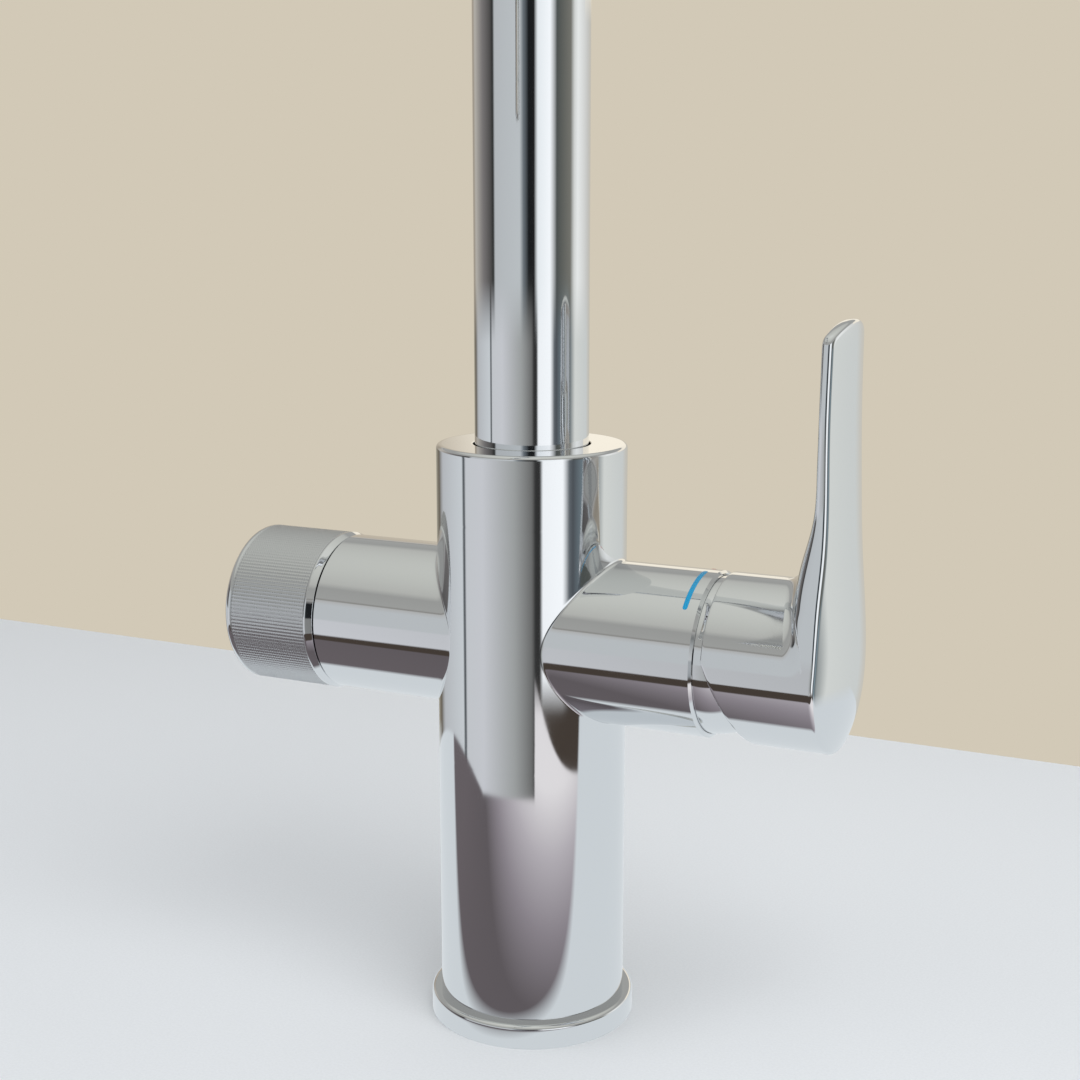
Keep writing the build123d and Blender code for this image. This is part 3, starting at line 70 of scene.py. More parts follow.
def cad_low(name):
    """Lowest corner of a CAD node, in millimetres."""
    return [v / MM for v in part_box(name)[0]]


def cad_high(name):
    """Highest corner of a CAD node, in millimetres."""
    return [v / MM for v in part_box(name)[1]]


# Places read from the CAD frame
BODY_LOW = cad_low("tap_body")
BODY_HIGH = cad_high("tap_body")
TUBE_LOW = cad_low("spout_tube")
TUBE_HIGH = cad_high("spout_tube")
KNOB_LOW = cad_low("knob")
KNOB_HIGH = cad_high("knob")
COLUMN_TOP = BODY_HIGH[2]
COLUMN_FOOT = BODY_LOW[2]
RIGHT_END = BODY_HIGH[0]
LEFT_END = -BODY_LOW[0]
ARM_HEIGHT = 100.0
# The spout's end lies half the tube's width in from the tube's far side
OUTLET_AXIS = TUBE_LOW[1] + 14.0


def size(name, description, default):
    """A length property in millimetres."""
    return bpy.props.FloatProperty(name=name, description=description, default=default * MM, unit="LENGTH")


def shade(name, description, default):
    """A colour property, written as an sRGB hex value."""
    return bpy.props.StringProperty(name=name, description=description, default=default)


class TapBodySizes(bpy.types.PropertyGroup):
    """Sizes of the column, the arms and the base ring."""

    column_radius: size("Column radius", "Outer radius of the upright column", 23.5)
    column_edge: size("Column edge", "Rounding of the column's top edge", 1.0)
    arm_radius: size("Arm radius", "Outer radius of both arms", 20.0)
    arm_edge: size("Arm edge", "Chamfer round the open end of an arm", 0.6)
    arm_blend: size("Arm blend", "Radius of the fillet where an arm meets the column", 1.0)
    mouth_radius: size("Mouth radius", "Inner radius of the right arm's open end", 19.0)
    mouth_depth: size("Mouth depth", "Depth of the right arm's open end", 8.0)
    spout_bore: size("Spout bore", "Radius of the bore that the spout turns in", 14.45)
    base_radius: size("Base radius", "Outer radius of the ring on the deck", 26.0)
    base_edge: size("Base edge", "Rounding of the base ring's upper edge", 1.2)


class TapSpoutSizes(bpy.types.PropertyGroup):
    """Sizes of the spout."""

    tube_radius: size("Tube radius", "Outer radius of the spout tube", 14.0)
    tube_wall: size("Tube wall", "Wall thickness of the spout tube", 1.5)
    bend_radius: size("Bend radius", "Radius of the bend's centre line", 104.0)
    ring_edge: size("Outlet edge", "Chamfer round the outlet's lower edge", 1.0)


class TapLeverSizes(bpy.types.PropertyGroup):
    """Sizes of the mixer lever."""

    hub_radius: size("Hub radius", "Outer radius of the lever's hub", 20.0)
    height: size("Height", "Height of the lever's tip over the arm's axis", 80.4)
    tip_half_width: size("Tip half width", "Half the blade's width under the tip", 12.8)
    waist_half_width: size("Waist half width", "Half the blade's width above the hub", 15.4)
    front_edge: size("Front edge", "Rounding of the blade's edge round the front face", 1.15)
    hub_edge: size("Hub edge", "Rounding of the hub's edge round the front face", 0.8)
    back_edge: size("Back edge", "Rounding of the edge behind the blade", 1.15)


class TapKnobSizes(bpy.types.PropertyGroup):
    """Sizes of the filtered-water knob."""

    radius: size("Knob radius", "Outer radius of the knob", 20.5)
    knurl_pitch: size("Knurl pitch", "Distance from one ridge of the knurl to the next, round the knob", 0.9)
    knurl_depth: size("Knurl depth", "Depth between the ridges", 0.18)
    groove_pitch: size("Groove pitch", "Distance between the grooves across the ridges", 0.7)
    groove_depth: size("Groove depth", "Depth of the grooves across the ridges", 0.16)
    skirt_reach: size("Skirt reach", "How far the knob's skirt closes its gap to the arm", 0.26)


class TapColours(bpy.types.PropertyGroup):
    """Colours of the finishes, as sRGB hex values."""

    chrome: shade("Chrome", "Bright chrome plate", "#e4e6e8")
    satin: shade("Satin chrome", "Satin chrome plate", "#d4d6d8")
    brass: shade("Brass", "Bare machined brass", "#cfa968")
    steel: shade("Steel", "Stainless steel", "#b8b7b4")
    rubber: shade("Rubber", "Black EPDM rubber", "#1b1c1d")
    acetal: shade("Acetal", "Moulded acetal", "#e4e2da")
    alumina: shade("Alumina", "Lapped alumina ceramic", "#efeee9")
    cold: shade("Cold mark", "Enamel of the cold mark", "#0f93c3")
    hot: shade("Hot mark", "Enamel of the hot mark", "#c32a22")
    worktop: shade("Worktop", "The pale floor that the tap stands on", "#eceff2")
    backdrop: shade("Backdrop", "Plain colour behind the tap", "#d2c9b7")


# Meshes


def clear_selection():
    """Leaves edit mode and deselects everything, so that the next operator acts only on the new piece."""
    if bpy.context.mode != "OBJECT":
        bpy.ops.object.mode_set(mode="OBJECT")
    bpy.ops.object.select_all(action="DESELECT")


def only(piece):
    """Selects one piece and makes it the active one."""
    clear_selection()
    piece.select_set(True)
    bpy.context.view_layer.objects.active = piece


def place_row(piece, row, ring):
    """Puts the vertices of a row, given by their numbers, at the points of a ring in millimetres."""
    edit = bmesh.from_edit_mesh(piece.data)
    edit.verts.ensure_lookup_table()
    for index, point in zip(row, ring):
        edit.verts[index].co = Vector(point) * MM
    bmesh.update_edit_mesh(piece.data, loop_triangles=False, destructive=False)


def next_row(piece, row):
    """Numbers of the vertices that an extrusion has drawn out of a row, in the row's order."""
    edit = bmesh.from_edit_mesh(piece.data)
    edit.verts.index_update()
    edit.verts.ensure_lookup_table()
    drawn = []
    for index in row:
        old = edit.verts[index]
        drawn.append(next(e.other_vert(old).index for e in old.link_edges if e.other_vert(old).select))
    return drawn


def draw_out(piece, row, rings):
    """Extrudes the selected row ring by ring, and puts each new row at its ring's points."""
    for ring in rings:
        bpy.ops.mesh.extrude_region()
        row = next_row(piece, row)
        place_row(piece, row, ring)
    return row


def begin(name, ring):
    """Adds a circle with as many points as a ring, and opens it in edit mode at the ring's places."""
    clear_selection()
    bpy.ops.mesh.primitive_circle_add(vertices=len(ring), radius=MM)
    piece = bpy.context.object
    piece.name = name
    piece.data.name = name
    bpy.ops.object.mode_set(mode="EDIT")
    bpy.ops.mesh.select_mode(type="VERT")
    bpy.ops.mesh.select_all(action="SELECT")
    row = list(range(len(ring)))
    place_row(piece, row, ring)
    return piece, row


def select_row(piece, row):
    """Selects just the vertices of a row, in edit mode."""
    bpy.ops.mesh.select_all(action="DESELECT")
    edit = bmesh.from_edit_mesh(piece.data)
    edit.verts.ensure_lookup_table()
    for index in row:
        edit.verts[index].select = True
    edit.select_flush(True)
    bmesh.update_edit_mesh(piece.data)


def cap(piece, row):
    """Closes a row with one face, in edit mode. Both ends are closed last, when all rows are drawn."""
    select_row(piece, row)
    bpy.ops.mesh.edge_face_add()


def pole(piece, row):
    """Closes a row with a fan of triangles to its middle, in edit mode."""
    select_row(piece, row)
    bpy.ops.mesh.extrude_region()
    bpy.ops.mesh.merge(type="CENTER")


def weld():
    """Merges what lies together, turns every face outward and leaves edit mode."""
    bpy.ops.mesh.select_all(action="SELECT")
    bpy.ops.mesh.remove_doubles(threshold=WELD * MM)
    bpy.ops.mesh.dissolve_degenerate(threshold=WELD * MM / 10)
    bpy.ops.mesh.select_all(action="SELECT")
    bpy.ops.mesh.normals_make_consistent(inside=False)
    bpy.ops.object.mode_set(mode="OBJECT")


def finish_piece(piece, slot, body, *nodes, angle=SMOOTH_ANGLE, material=None):
    """Shades a piece smooth up to an angle and gives it its body, the nodes it stands for, and the finish
    of its slot or a material of its own."""
    only(piece)
    bpy.ops.object.shade_smooth_by_angle(angle=math.radians(angle))
    piece.data.materials.clear()
    piece.data.materials.append(material or FINISHES[slot])
    if nodes:
        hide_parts(*nodes)
    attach(piece, body)


def arc(middle, radius, start, end, steps):
    """Points of an arc in a profile, from one angle to another in degrees."""
    points = []
    for step in range(steps + 1):
        angle = math.radians(start + (end - start) * step / steps)
        points.append((middle[0] + radius * math.cos(angle), middle[1] + radius * math.sin(angle)))
    return points


def rounded(corners, steps=6):
    """A profile of (radius, place) points. A corner with a third number is rounded by that much, and each
    long straight run gets a point near its ends, so that the rounding's shading stays at the corner."""
    profile = []
    count = len(corners)
    for index, corner in enumerate(corners):
        here = Vector(corner[:2])
        if len(corner) == 2 or index in (0, count - 1):
            profile.append(here)
            continue
        before = (Vector(corners[index - 1][:2]) - here).normalized()
        after = (Vector(corners[index + 1][:2]) - here).normalized()
        half = before.angle(after) / 2
        reach = corner[2] / math.tan(half)
        middle = here + (before + after).normalized() * (corner[2] / math.sin(half))
        first = here + before * reach
        last = here + after * reach
        for step in range(steps + 1):
            part = step / steps
            spoke = (first - middle).slerp(last - middle, part)
            profile.append(middle + spoke * corner[2])
    supported = [profile[0]]
    for last, point in zip(profile, profile[1:]):
        run = (point - last).length
        if run > 4 * EDGE_SUPPORT:
            along = (point - last) / run * EDGE_SUPPORT
            supported += [last + along, point - along]
        supported.append(point)
    return supported


def circle(radius, place, count, point):
    """A ring of a turned piece: a circle of a radius at a place along its axis. point makes x, y, z of it."""
    ring = []
    for step in range(count):
        angle = 2 * math.pi * step / count
        ring.append(point(radius * math.cos(angle), radius * math.sin(angle), place))
    return ring


def upright(x, y, z):
    """A turned piece about the column's axis."""
    return (x, y, z)


def at_outlet(x, y, z):
    """A turned piece about the axis of the spout's end."""
    return (x, y + OUTLET_AXIS, z)


def on_right(x, y, z):
    """A turned piece about the arms' axis, placed to the right of the column."""
    return (z, x, ARM_HEIGHT + y)


def on_left(x, y, z):
    """A turned piece about the arms' axis, placed to the left of the column."""
    return (-z, x, ARM_HEIGHT + y)


def across_arm(place, point):
    """A point of the lever, from its place along the arm and its (sideways, up) from the arm's axis."""
    return (place, point[0], ARM_HEIGHT + point[1])


def drawn(name, rings, solid=True):
    """A piece drawn through rings, with a cap at both ends, or closed from its last ring to its first."""
    piece, row = begin(name, rings[0])
    last = draw_out(piece, row, rings[1:])
    if solid:
        cap(piece, row)
        cap(piece, last)
    else:
        draw_out(piece, last, rings[:1])
    weld()
    return piece


def turned(name, profile, count, point):
    """A turned piece: a closed profile, or one that starts and ends on the axis, drawn round its axis."""
    solid = profile[0][0] < WELD
    inner = profile[1:-1] if solid else profile
    return drawn(name, [circle(radius, place, count, point) for radius, place in inner], solid)


def cut(piece, tool, operation="DIFFERENCE"):
    """Cuts one piece with another by a boolean modifier, applies it and removes the tool."""
    only(piece)
    bpy.ops.object.modifier_add(type="BOOLEAN")
    modifier = piece.modifiers[-1]
    modifier.operation = operation
    modifier.solver = "MANIFOLD"
    modifier.object = tool
    bpy.ops.object.modifier_apply(modifier=modifier.name)
    bpy.data.objects.remove(tool, do_unlink=True)


def spline(points, start, end, steps):
    """A smooth curve through points, with its directions at the two ends, as a list of points."""
    knots = [Vector(p) for p in points]
    spans = [(b - a).length for a, b in zip(knots, knots[1:])]
    first = Vector(start).normalized()
    last = Vector(end).normalized()
    count = len(knots)
    slopes = [first] + [Vector((0.0, 0.0))] * (count - 2) + [last]
    for _ in range(60):
        for k in range(1, count - 1):
            before, after = spans[k - 1], spans[k]
            there, onward = knots[k] - knots[k - 1], knots[k + 1] - knots[k]
            push = 3 * (there * after / before + onward * before / after)
            slopes[k] = (push - slopes[k - 1] * after - slopes[k + 1] * before) / (2 * (before + after))
    line = []
    for k, span in enumerate(spans):
        for step in range(steps + (k == count - 2)):
            t = step / steps
            line.append(
                knots[k] * (2 * t**3 - 3 * t**2 + 1)
                + slopes[k] * span * (t**3 - 2 * t**2 + t)
                + knots[k + 1] * (3 * t**2 - 2 * t**3)
                + slopes[k + 1] * span * (t**3 - t**2)
            )
    return line


def eased(part):
    """A share from 0 to 1 that starts and ends softly."""
    part = min(1.0, max(0.0, part))
    return part * part * (3 - 2 * part)


def between(table, value):
    """The height of a line of (along, height) points at a place along it, by straight steps."""
    if value <= table[0][0]:
        return table[0][1]
    for (a, p), (b, q) in zip(table, table[1:]):
        if value <= b:
            return p + (q - p) * (value - a) / (b - a)
    return table[-1][1]


# Materials


def linear(code):
    """An sRGB hex value as linear red, green, blue and full alpha."""
    values = []
    for place in (1, 3, 5):
        value = int(code[place:place + 2], 16) / 255
        values.append(value / 12.92 if value <= 0.04045 else ((value + 0.055) / 1.055) ** 2.4)
    return (*values, 1.0)


def add_node(tree, kind, inputs=None, **settings):
    """Adds one shader node, with its settings, its socket values and the links into it. A node given as a
    value stands for its first output that is in use."""
    made = tree.nodes.new("ShaderNode" + kind)
    for name, value in settings.items():
        setattr(made, name, value)
    for name, value in (inputs or {}).items():
        if isinstance(value, bpy.types.Node):
            value = next(socket for socket in value.outputs if socket.enabled)
        if isinstance(value, bpy.types.NodeSocket):
            tree.links.new(value, made.inputs[name])
        else:
            made.inputs[name].default_value = value
    return made


def ramp_stops(ramp, stops):
    """Sets the stops of a colour ramp from (place, sRGB hex) pairs."""
    elements = ramp.color_ramp.elements
    while len(elements) > 1:
        elements.remove(elements[-1])
    elements[0].position, elements[0].color = stops[0][0], linear(stops[0][1])
    for position, code in stops[1:]:
        elements.new(position).color = linear(code)


def by_bearing(stops):
    """Ramp stops from bearings in degrees, where the ramp runs from -180 to 180."""
    return [((degrees + 180) / 360, code) for degrees, code in stops]


def new_material(name):
    """A material with an empty node tree."""
    material = bpy.data.materials.new(name)
    material.use_nodes = True
    tree = material.node_tree
    tree.nodes.clear()
    return material, tree


def polished_chrome(colours):
    """Bright chrome plate on polished brass: a mirror, with faint polish haze and hardly any waviness."""
    material, tree = new_material("chrome_plate_polished")
    where = add_node(tree, "TexCoord").outputs["Object"]
    # Dried water and finger film, about 12 mm across, which softens the mirror here and there
    film = add_node(tree, "TexNoise", {"Vector": where, "Scale": 80.0, "Detail": 3.0})
    haze = add_node(tree, "MapRange", {
        "Value": film, "From Min": 0.35, "From Max": 0.75, "To Min": 0.03, "To Max": 0.065})
    # Buffing leaves the casting a little uneven over some 15 mm, which bends straight reflections slightly
    wave = add_node(tree, "TexNoise", {"Vector": where, "Scale": 60.0, "Detail": 1.0})
    bump = add_node(tree, "Bump", {"Height": wave, "Strength": 0.012, "Distance": 0.001})
    surface = add_node(tree, "BsdfPrincipled", {
        "Base Color": linear(colours.chrome), "Metallic": 1.0, "Roughness": haze, "Normal": bump})
    add_node(tree, "OutputMaterial", {"Surface": surface})
    return material


def satin_chrome(colours):
    """Satin chrome plate over a knurl: blasted fine, so that it is pale and even with no sharp reflection."""
    material, tree = new_material("chrome_plate_satin")
    where = add_node(tree, "TexCoord").outputs["Object"]
    # The blast grain is under 0.1 mm; it is drawn at 0.25 mm so that it shows
    grain = add_node(tree, "TexNoise", {"Vector": where, "Scale": 4000.0, "Detail": 2.0})
    spread = add_node(tree, "MapRange", {"Value": grain, "To Min": 0.3, "To Max": 0.4})
    bump = add_node(tree, "Bump", {"Height": grain, "Strength": 0.05, "Distance": 0.0001})
    surface = add_node(tree, "BsdfPrincipled", {
        "Base Color": linear(colours.satin), "Metallic": 1.0, "Roughness": spread, "Normal": bump})
    add_node(tree, "OutputMaterial", {"Surface": surface})
    return material


def turned_metal(name, code, low, high, tone):
    """Machined metal: fine tool marks, a soft sheen, and a colour that varies a little with handling."""
    material, tree = new_material(name)
    where = add_node(tree, "TexCoord").outputs["Object"]
    # Tool marks of a 0.2 mm feed, drawn at 0.4 mm so that they show
    marks = add_node(tree, "TexNoise", {"Vector": where, "Scale": 2500.0, "Detail": 1.0})
    tarnish = add_node(tree, "TexNoise", {"Vector": where, "Scale": 150.0, "Detail": 4.0})
    colour = add_node(tree, "ValToRGB", {"Fac": tarnish})
    ramp_stops(colour, [(0.3, tone), (0.7, code)])
    spread = add_node(tree, "MapRange", {"Value": tarnish, "To Min": low, "To Max": high})
    bump = add_node(tree, "Bump", {"Height": marks, "Strength": 0.1, "Distance": 0.0001})
    surface = add_node(tree, "BsdfPrincipled", {
        "Base Color": colour, "Metallic": 1.0, "Roughness": spread, "Normal": bump})
    add_node(tree, "OutputMaterial", {"Surface": surface})
    return material


def moulded(name, code, tone, roughness, grain_scale, grain_strength, gloss):
    """A moulded or pressed piece with a fine grain: rubber, acetal or lapped ceramic."""
    material, tree = new_material(name)
    where = add_node(tree, "TexCoord").outputs["Object"]
    grain = add_node(tree, "TexNoise", {"Vector": where, "Scale": grain_scale, "Detail": 3.0})
    cloud = add_node(tree, "TexNoise", {"Vector": where, "Scale": 90.0, "Detail": 2.0})
    colour = add_node(tree, "ValToRGB", {"Fac": cloud})
    ramp_stops(colour, [(0.3, tone), (0.7, code)])
    spread = add_node(tree, "MapRange", {
        "Value": grain, "To Min": roughness - 0.04, "To Max": roughness + 0.06})
    bump = add_node(tree, "Bump", {"Height": grain, "Strength": grain_strength, "Distance": 0.0001})
    surface = add_node(tree, "BsdfPrincipled", {
        "Base Color": colour, "Roughness": spread, "Normal": bump, "Specular IOR Level": gloss})
    add_node(tree, "OutputMaterial", {"Surface": surface})
    return material


# Operators, one for each piece or group of like pieces


class TAP_OT_finishes(bpy.types.Operator):
    """Makes the materials and gives every CAD node the finish of its slot"""

    bl_idname = "tap.finishes"
    bl_label = "Finishes"

    def execute(self, context):
        colours = context.scene.tap_colours
        FINISHES["chrome"] = polished_chrome(colours)
        FINISHES["satin_chrome"] = satin_chrome(colours)
        # Finely turned brass and stainless steel, each darker where it was handled
        FINISHES["brass"] = turned_metal("brass_machined", colours.brass, 0.2, 0.34, "#b98f4d")
        FINISHES["steel"] = turned_metal("stainless_steel_machined", colours.steel, 0.24, 0.36, "#a3a2a0")
        # Pressed EPDM is matt black with a fine mould texture
        FINISHES["rubber"] = moulded(
            "epdm_rubber_pressed", colours.rubber, "#242526", 0.62, 3000.0, 0.15, 0.4)
        # Acetal comes from its mould ivory white and waxy
        FINISHES["plastic"] = moulded("acetal_moulded", colours.acetal, "#d9d6cb", 0.38, 1500.0, 0.05, 0.5)
        # Lapped alumina is off-white and nearly a mirror on its face
        FINISHES["ceramic"] = moulded("alumina_lapped", colours.alumina, "#e6e3da", 0.16, 4000.0, 0.02, 0.6)
        slots = {part["node"]: part["material_slot"] for part in frame["record"]["subparts"]}
        for name, node in frame["nodes"].items():
            if name not in slots:
                raise RuntimeError("no material slot for " + name)
            node.data.materials.clear()
            node.data.materials.append(FINISHES[slots[name]])
        return {"FINISHED"}


class BodyShape:
    """Rings of the column and its arms: two halves with an arm each, and the column over and under them."""

    # Points round each arm, and how far the skin round the arms reaches over and under their axis
    count = 256
    skin_reach = 30.0
    straight = 3.0

    def __init__(self, s):
        self.column, self.arm, self.blend = s.column_radius / MM, s.arm_radius / MM, s.arm_blend / MM
        self.edge = s.arm_edge / MM

    def half(self, name, side, end, inside):
        """One arm from its bore to the fillet, and half of the column's skin round it."""
        steps, way = range(self.count), on_right if side > 0 else on_left
        profile = rounded(inside + [
            (self.arm - self.edge, end), (self.arm, end - self.edge), (self.arm, end - self.straight)])
        rings = [circle(radius, place, self.count, way) for radius, place in profile]
        piece, floor = begin(name, rings[0])
        row = draw_out(piece, floor, rings[1:])
        # From the arm's wall to the line where the fillet starts, which dips round the column
        start = [self.blend_point(side, step, 0) for step in steps]
        parts = (0.25, 0.5, 0.75, 0.97, 1.0)
        toward = [[Vector(a).lerp(Vector(b), part) for a, b in zip(rings[-1], start)] for part in parts]
        fillet = [[self.blend_point(side, step, part / 8) for step in steps] for part in range(1, 9)]
        skin = [self.skin_ring(side, max(0.004, part / 24) ** 1.4) for part in range(1, 25)]
        draw_out(piece, row, toward + fillet + skin)
        cap(piece, floor)
        bpy.ops.object.mode_set(mode="OBJECT")
        return piece

    def blend_point(self, side, step, part):
        """A point of the fillet, which is what a ball leaves that rolls along both walls."""
        angle = 2 * math.pi * step / self.count
        y, z = (self.arm + self.blend) * math.cos(angle), (self.arm + self.blend) * math.sin(angle)
        x = math.sqrt((self.column + self.blend) ** 2 - y * y)
        to_arm = Vector((0.0, -math.cos(angle), -math.sin(angle)))
        to_column = Vector((-x, -y, 0.0)).normalized()
        spoke = to_arm.slerp(to_column, part) if part < 1 else to_column
        point = Vector((x, y, z)) + spoke * self.blend
        return (side * point.x, point.y, ARM_HEIGHT + point.z)

    def frame_point(self, step):
        """The same step on the edge of the column's half, as (angle round the column, height)."""
        quarter = self.count // 4
        low, high = ARM_HEIGHT - self.skin_reach, ARM_HEIGHT + self.skin_reach
        side, along = divmod((step + quarter // 2) % self.count, quarter)
        turn, part = math.pi / 2, along / quarter
        return ((turn, low + (high - low) * part), (turn * (1 - 2 * part), high),
                (-turn, high + (low - high) * part), (-turn * (1 - 2 * part), low))[side]

    def skin_ring(self, side, part):
        """A ring on the column's wall, between the fillet's foot and the edge of the column's half."""
        ring = []
        for step in range(self.count):
            inner = self.blend_point(1, step, 1)
            edge = self.frame_point(step)
            around = math.atan2(inner[1], inner[0]) * (1 - part) + edge[0] * part
            height = inner[2] * (1 - part) + edge[1] * part
            ring.append((side * self.column * math.cos(around), self.column * math.sin(around), height))
        return ring

    def draw_column(self, piece, height, profile):
        """Draws a profile out of the skin's row at a height, taken in order round the column, and caps it."""
        edit = bmesh.from_edit_mesh(piece.data)
        edit.verts.index_update()
        edge = [v for v in edit.verts
                if abs(v.co.z / MM - height) < WELD and v.co.xy.length / MM > self.column - WELD]
        edge.sort(key=lambda v: math.atan2(v.co.y, v.co.x))
        row, angles = [v.index for v in edge], [math.atan2(v.co.y, v.co.x) for v in edge]
        select_row(piece, row)
        rings = [[(r * math.cos(a), r * math.sin(a), z) for a in angles] for r, z in profile]
        cap(piece, draw_out(piece, row, rings))


class TAP_OT_body(bpy.types.Operator):
    """Models the column with both arms and their fillets as one skin"""

    bl_idname = "tap.body"
    bl_label = "Column and arms"

    def execute(self, context):
        s = context.scene.tap_body
        shape = BodyShape(s)
        column, spout_bore, spout_floor = shape.column, s.spout_bore / MM, 116.0
        mouth, floor = s.mouth_radius / MM, RIGHT_END - s.mouth_depth / MM
        mixer_bore, mixer_floor = 14.1, 22.0
        valve_bore, valve_floor, knob_bore, knob_floor = 9.6, 20.0, 17.7, 38.0
        shank_bore, shank_top, hose_bore, hose_top = 16.52, 16.0, 19.8, 72.0
        right = shape.half("column_and_arms", 1, RIGHT_END, [
            (mixer_bore, mixer_floor), (mixer_bore, floor), (mouth, floor), (mouth, RIGHT_END)])
        left = shape.half("left_half", -1, LEFT_END, [
            (valve_bore, valve_floor), (valve_bore, knob_floor), (knob_bore, knob_floor),
            (knob_bore, LEFT_END)])
        clear_selection()
        left.select_set(True)
        right.select_set(True)
        context.view_layer.objects.active = right
        bpy.ops.object.join()
        bpy.ops.object.mode_set(mode="EDIT")
        bpy.ops.mesh.select_all(action="SELECT")
        bpy.ops.mesh.remove_doubles(threshold=WELD * MM)
        # Leaving edit mode once closes the gaps that merging leaves in the vertices' numbers
        bpy.ops.object.mode_set(mode="OBJECT")
        bpy.ops.object.mode_set(mode="EDIT")
        high, low = ARM_HEIGHT + shape.skin_reach, ARM_HEIGHT - shape.skin_reach
        shape.draw_column(right, high, rounded([
            (column, high), (column, COLUMN_TOP, s.column_edge / MM), (spout_bore, COLUMN_TOP, 0.25),
            (spout_bore, spout_floor)], 8)[1:])
        shape.draw_column(right, low, rounded([
            (column, low), (column, COLUMN_FOOT), (shank_bore, COLUMN_FOOT), (shank_bore, shank_top),
            (hose_bore, shank_top), (hose_bore, hose_top)])[1:])
        weld()
        finish_piece(right, "chrome", "body", "tap_body")
        return {"FINISHED"}


class TAP_OT_base(bpy.types.Operator):
    """Turns the ring under the column"""

    bl_idname = "tap.base"
    bl_label = "Base ring"

    def execute(self, context):
        s = context.scene.tap_body
        radius, bore, height = s.base_radius / MM, 17.0, 6.0
        profile = rounded([
            (bore, 0.0), (radius, 0.0, 0.2), (radius, height, s.base_edge / MM), (bore, height),
            (bore, 0.0)])[:-1]
        finish_piece(turned("base_ring_polished", profile, 192, upright), "chrome", "body", "base_ring")
        return {"FINISHED"}


class TAP_OT_marks(bpy.types.Operator):
    """Models the enamelled marks for cold and hot on the right arm"""

    bl_idname = "tap.marks"
    bl_label = "Cold and hot marks"

    # Place of both marks along the arm, their half width, and how much of a turn each one spans
    place, half_width, span = 46.3, 0.6, 45.0

    def execute(self, context):
        colours = context.scene.tap_colours
        arm = context.scene.tap_body.arm_radius / MM
        straight = arm * math.radians(self.span) / 2 - self.half_width
        # A strip with round ends, laid round the arm: one end and one long side, and both again turned over
        ends = [math.radians(90 - 7.5 * k) for k in range(25)]
        half = [(straight + self.half_width * math.cos(a), self.half_width * math.sin(a)) for a in ends]
        sides = range(1, int(2 * straight / self.half_width))
        half += [(straight - self.half_width * k, -self.half_width) for k in sides]
        outline = half + [(-x, -y) for x, y in half]
        # Heights over the arm's wall, each with the share of the outline's width that the strip has there
        rounding = ((-0.3, 1.0), (0.02, 1.0), (0.05, 0.9), (0.06, 0.5), (0.06, 0.0))
        for name, code, side, lowest in (
            ("cold_mark", colours.cold, -1, 43.0), ("hot_mark", colours.hot, 1, 33.0),
        ):
            # Enamel run into a shallow groove and cured flush: even colour with a clear gloss
            material, tree = new_material("enamel_cured_" + name)
            where = add_node(tree, "TexCoord").outputs["Object"]
            cloud = add_node(tree, "TexNoise", {"Vector": where, "Scale": 900.0, "Detail": 2.0})
            spread = add_node(tree, "MapRange", {"Value": cloud, "To Min": 0.2, "To Max": 0.32})
            surface = add_node(tree, "BsdfPrincipled", {"Base Color": linear(code), "Roughness": spread})
            add_node(tree, "OutputMaterial", {"Surface": surface})
            middle = math.radians(lowest + self.span / 2)
            rings = []
            for over, share in rounding:
                ring = []
                for along, across in outline:
                    turn = middle + along * (0.96 + 0.04 * share) / arm
                    y, z = side * (arm + over) * math.cos(turn), (arm + over) * math.sin(turn)
                    ring.append((self.place + across * share, y, ARM_HEIGHT + z))
                rings.append(ring)
            finish_piece(drawn(name, rings), "plastic", "body", material=material)
        return {"FINISHED"}


class TAP_OT_dome(bpy.types.Operator):
    """Turns the polished dome that shows between the right arm and the lever"""

    bl_idname = "tap.dome"
    bl_label = "Dome"

    def execute(self, context):
        radius, wall, opening, skirt = 18.9, 1.2, 10.5, 4.0
        inner = radius - wall
        lift, inner_lift = [math.degrees(math.asin(opening / r)) for r in (radius, inner)]
        profile = [(radius, -skirt), (radius, 0.4 - skirt), (radius, -1.0)]
        profile += [(y, x) for x, y in arc((0.0, 0.0), radius, 90, lift, 40)]
        profile += [(y, x) for x, y in arc((0.0, 0.0), inner, inner_lift, 90, 24)]
        profile = [(reach, RIGHT_END + place) for reach, place in profile + [(inner, -skirt)]]
        finish_piece(turned("dome_polished", profile, 192, on_right), "chrome", "body", "mixer_dome")
        return {"FINISHED"}


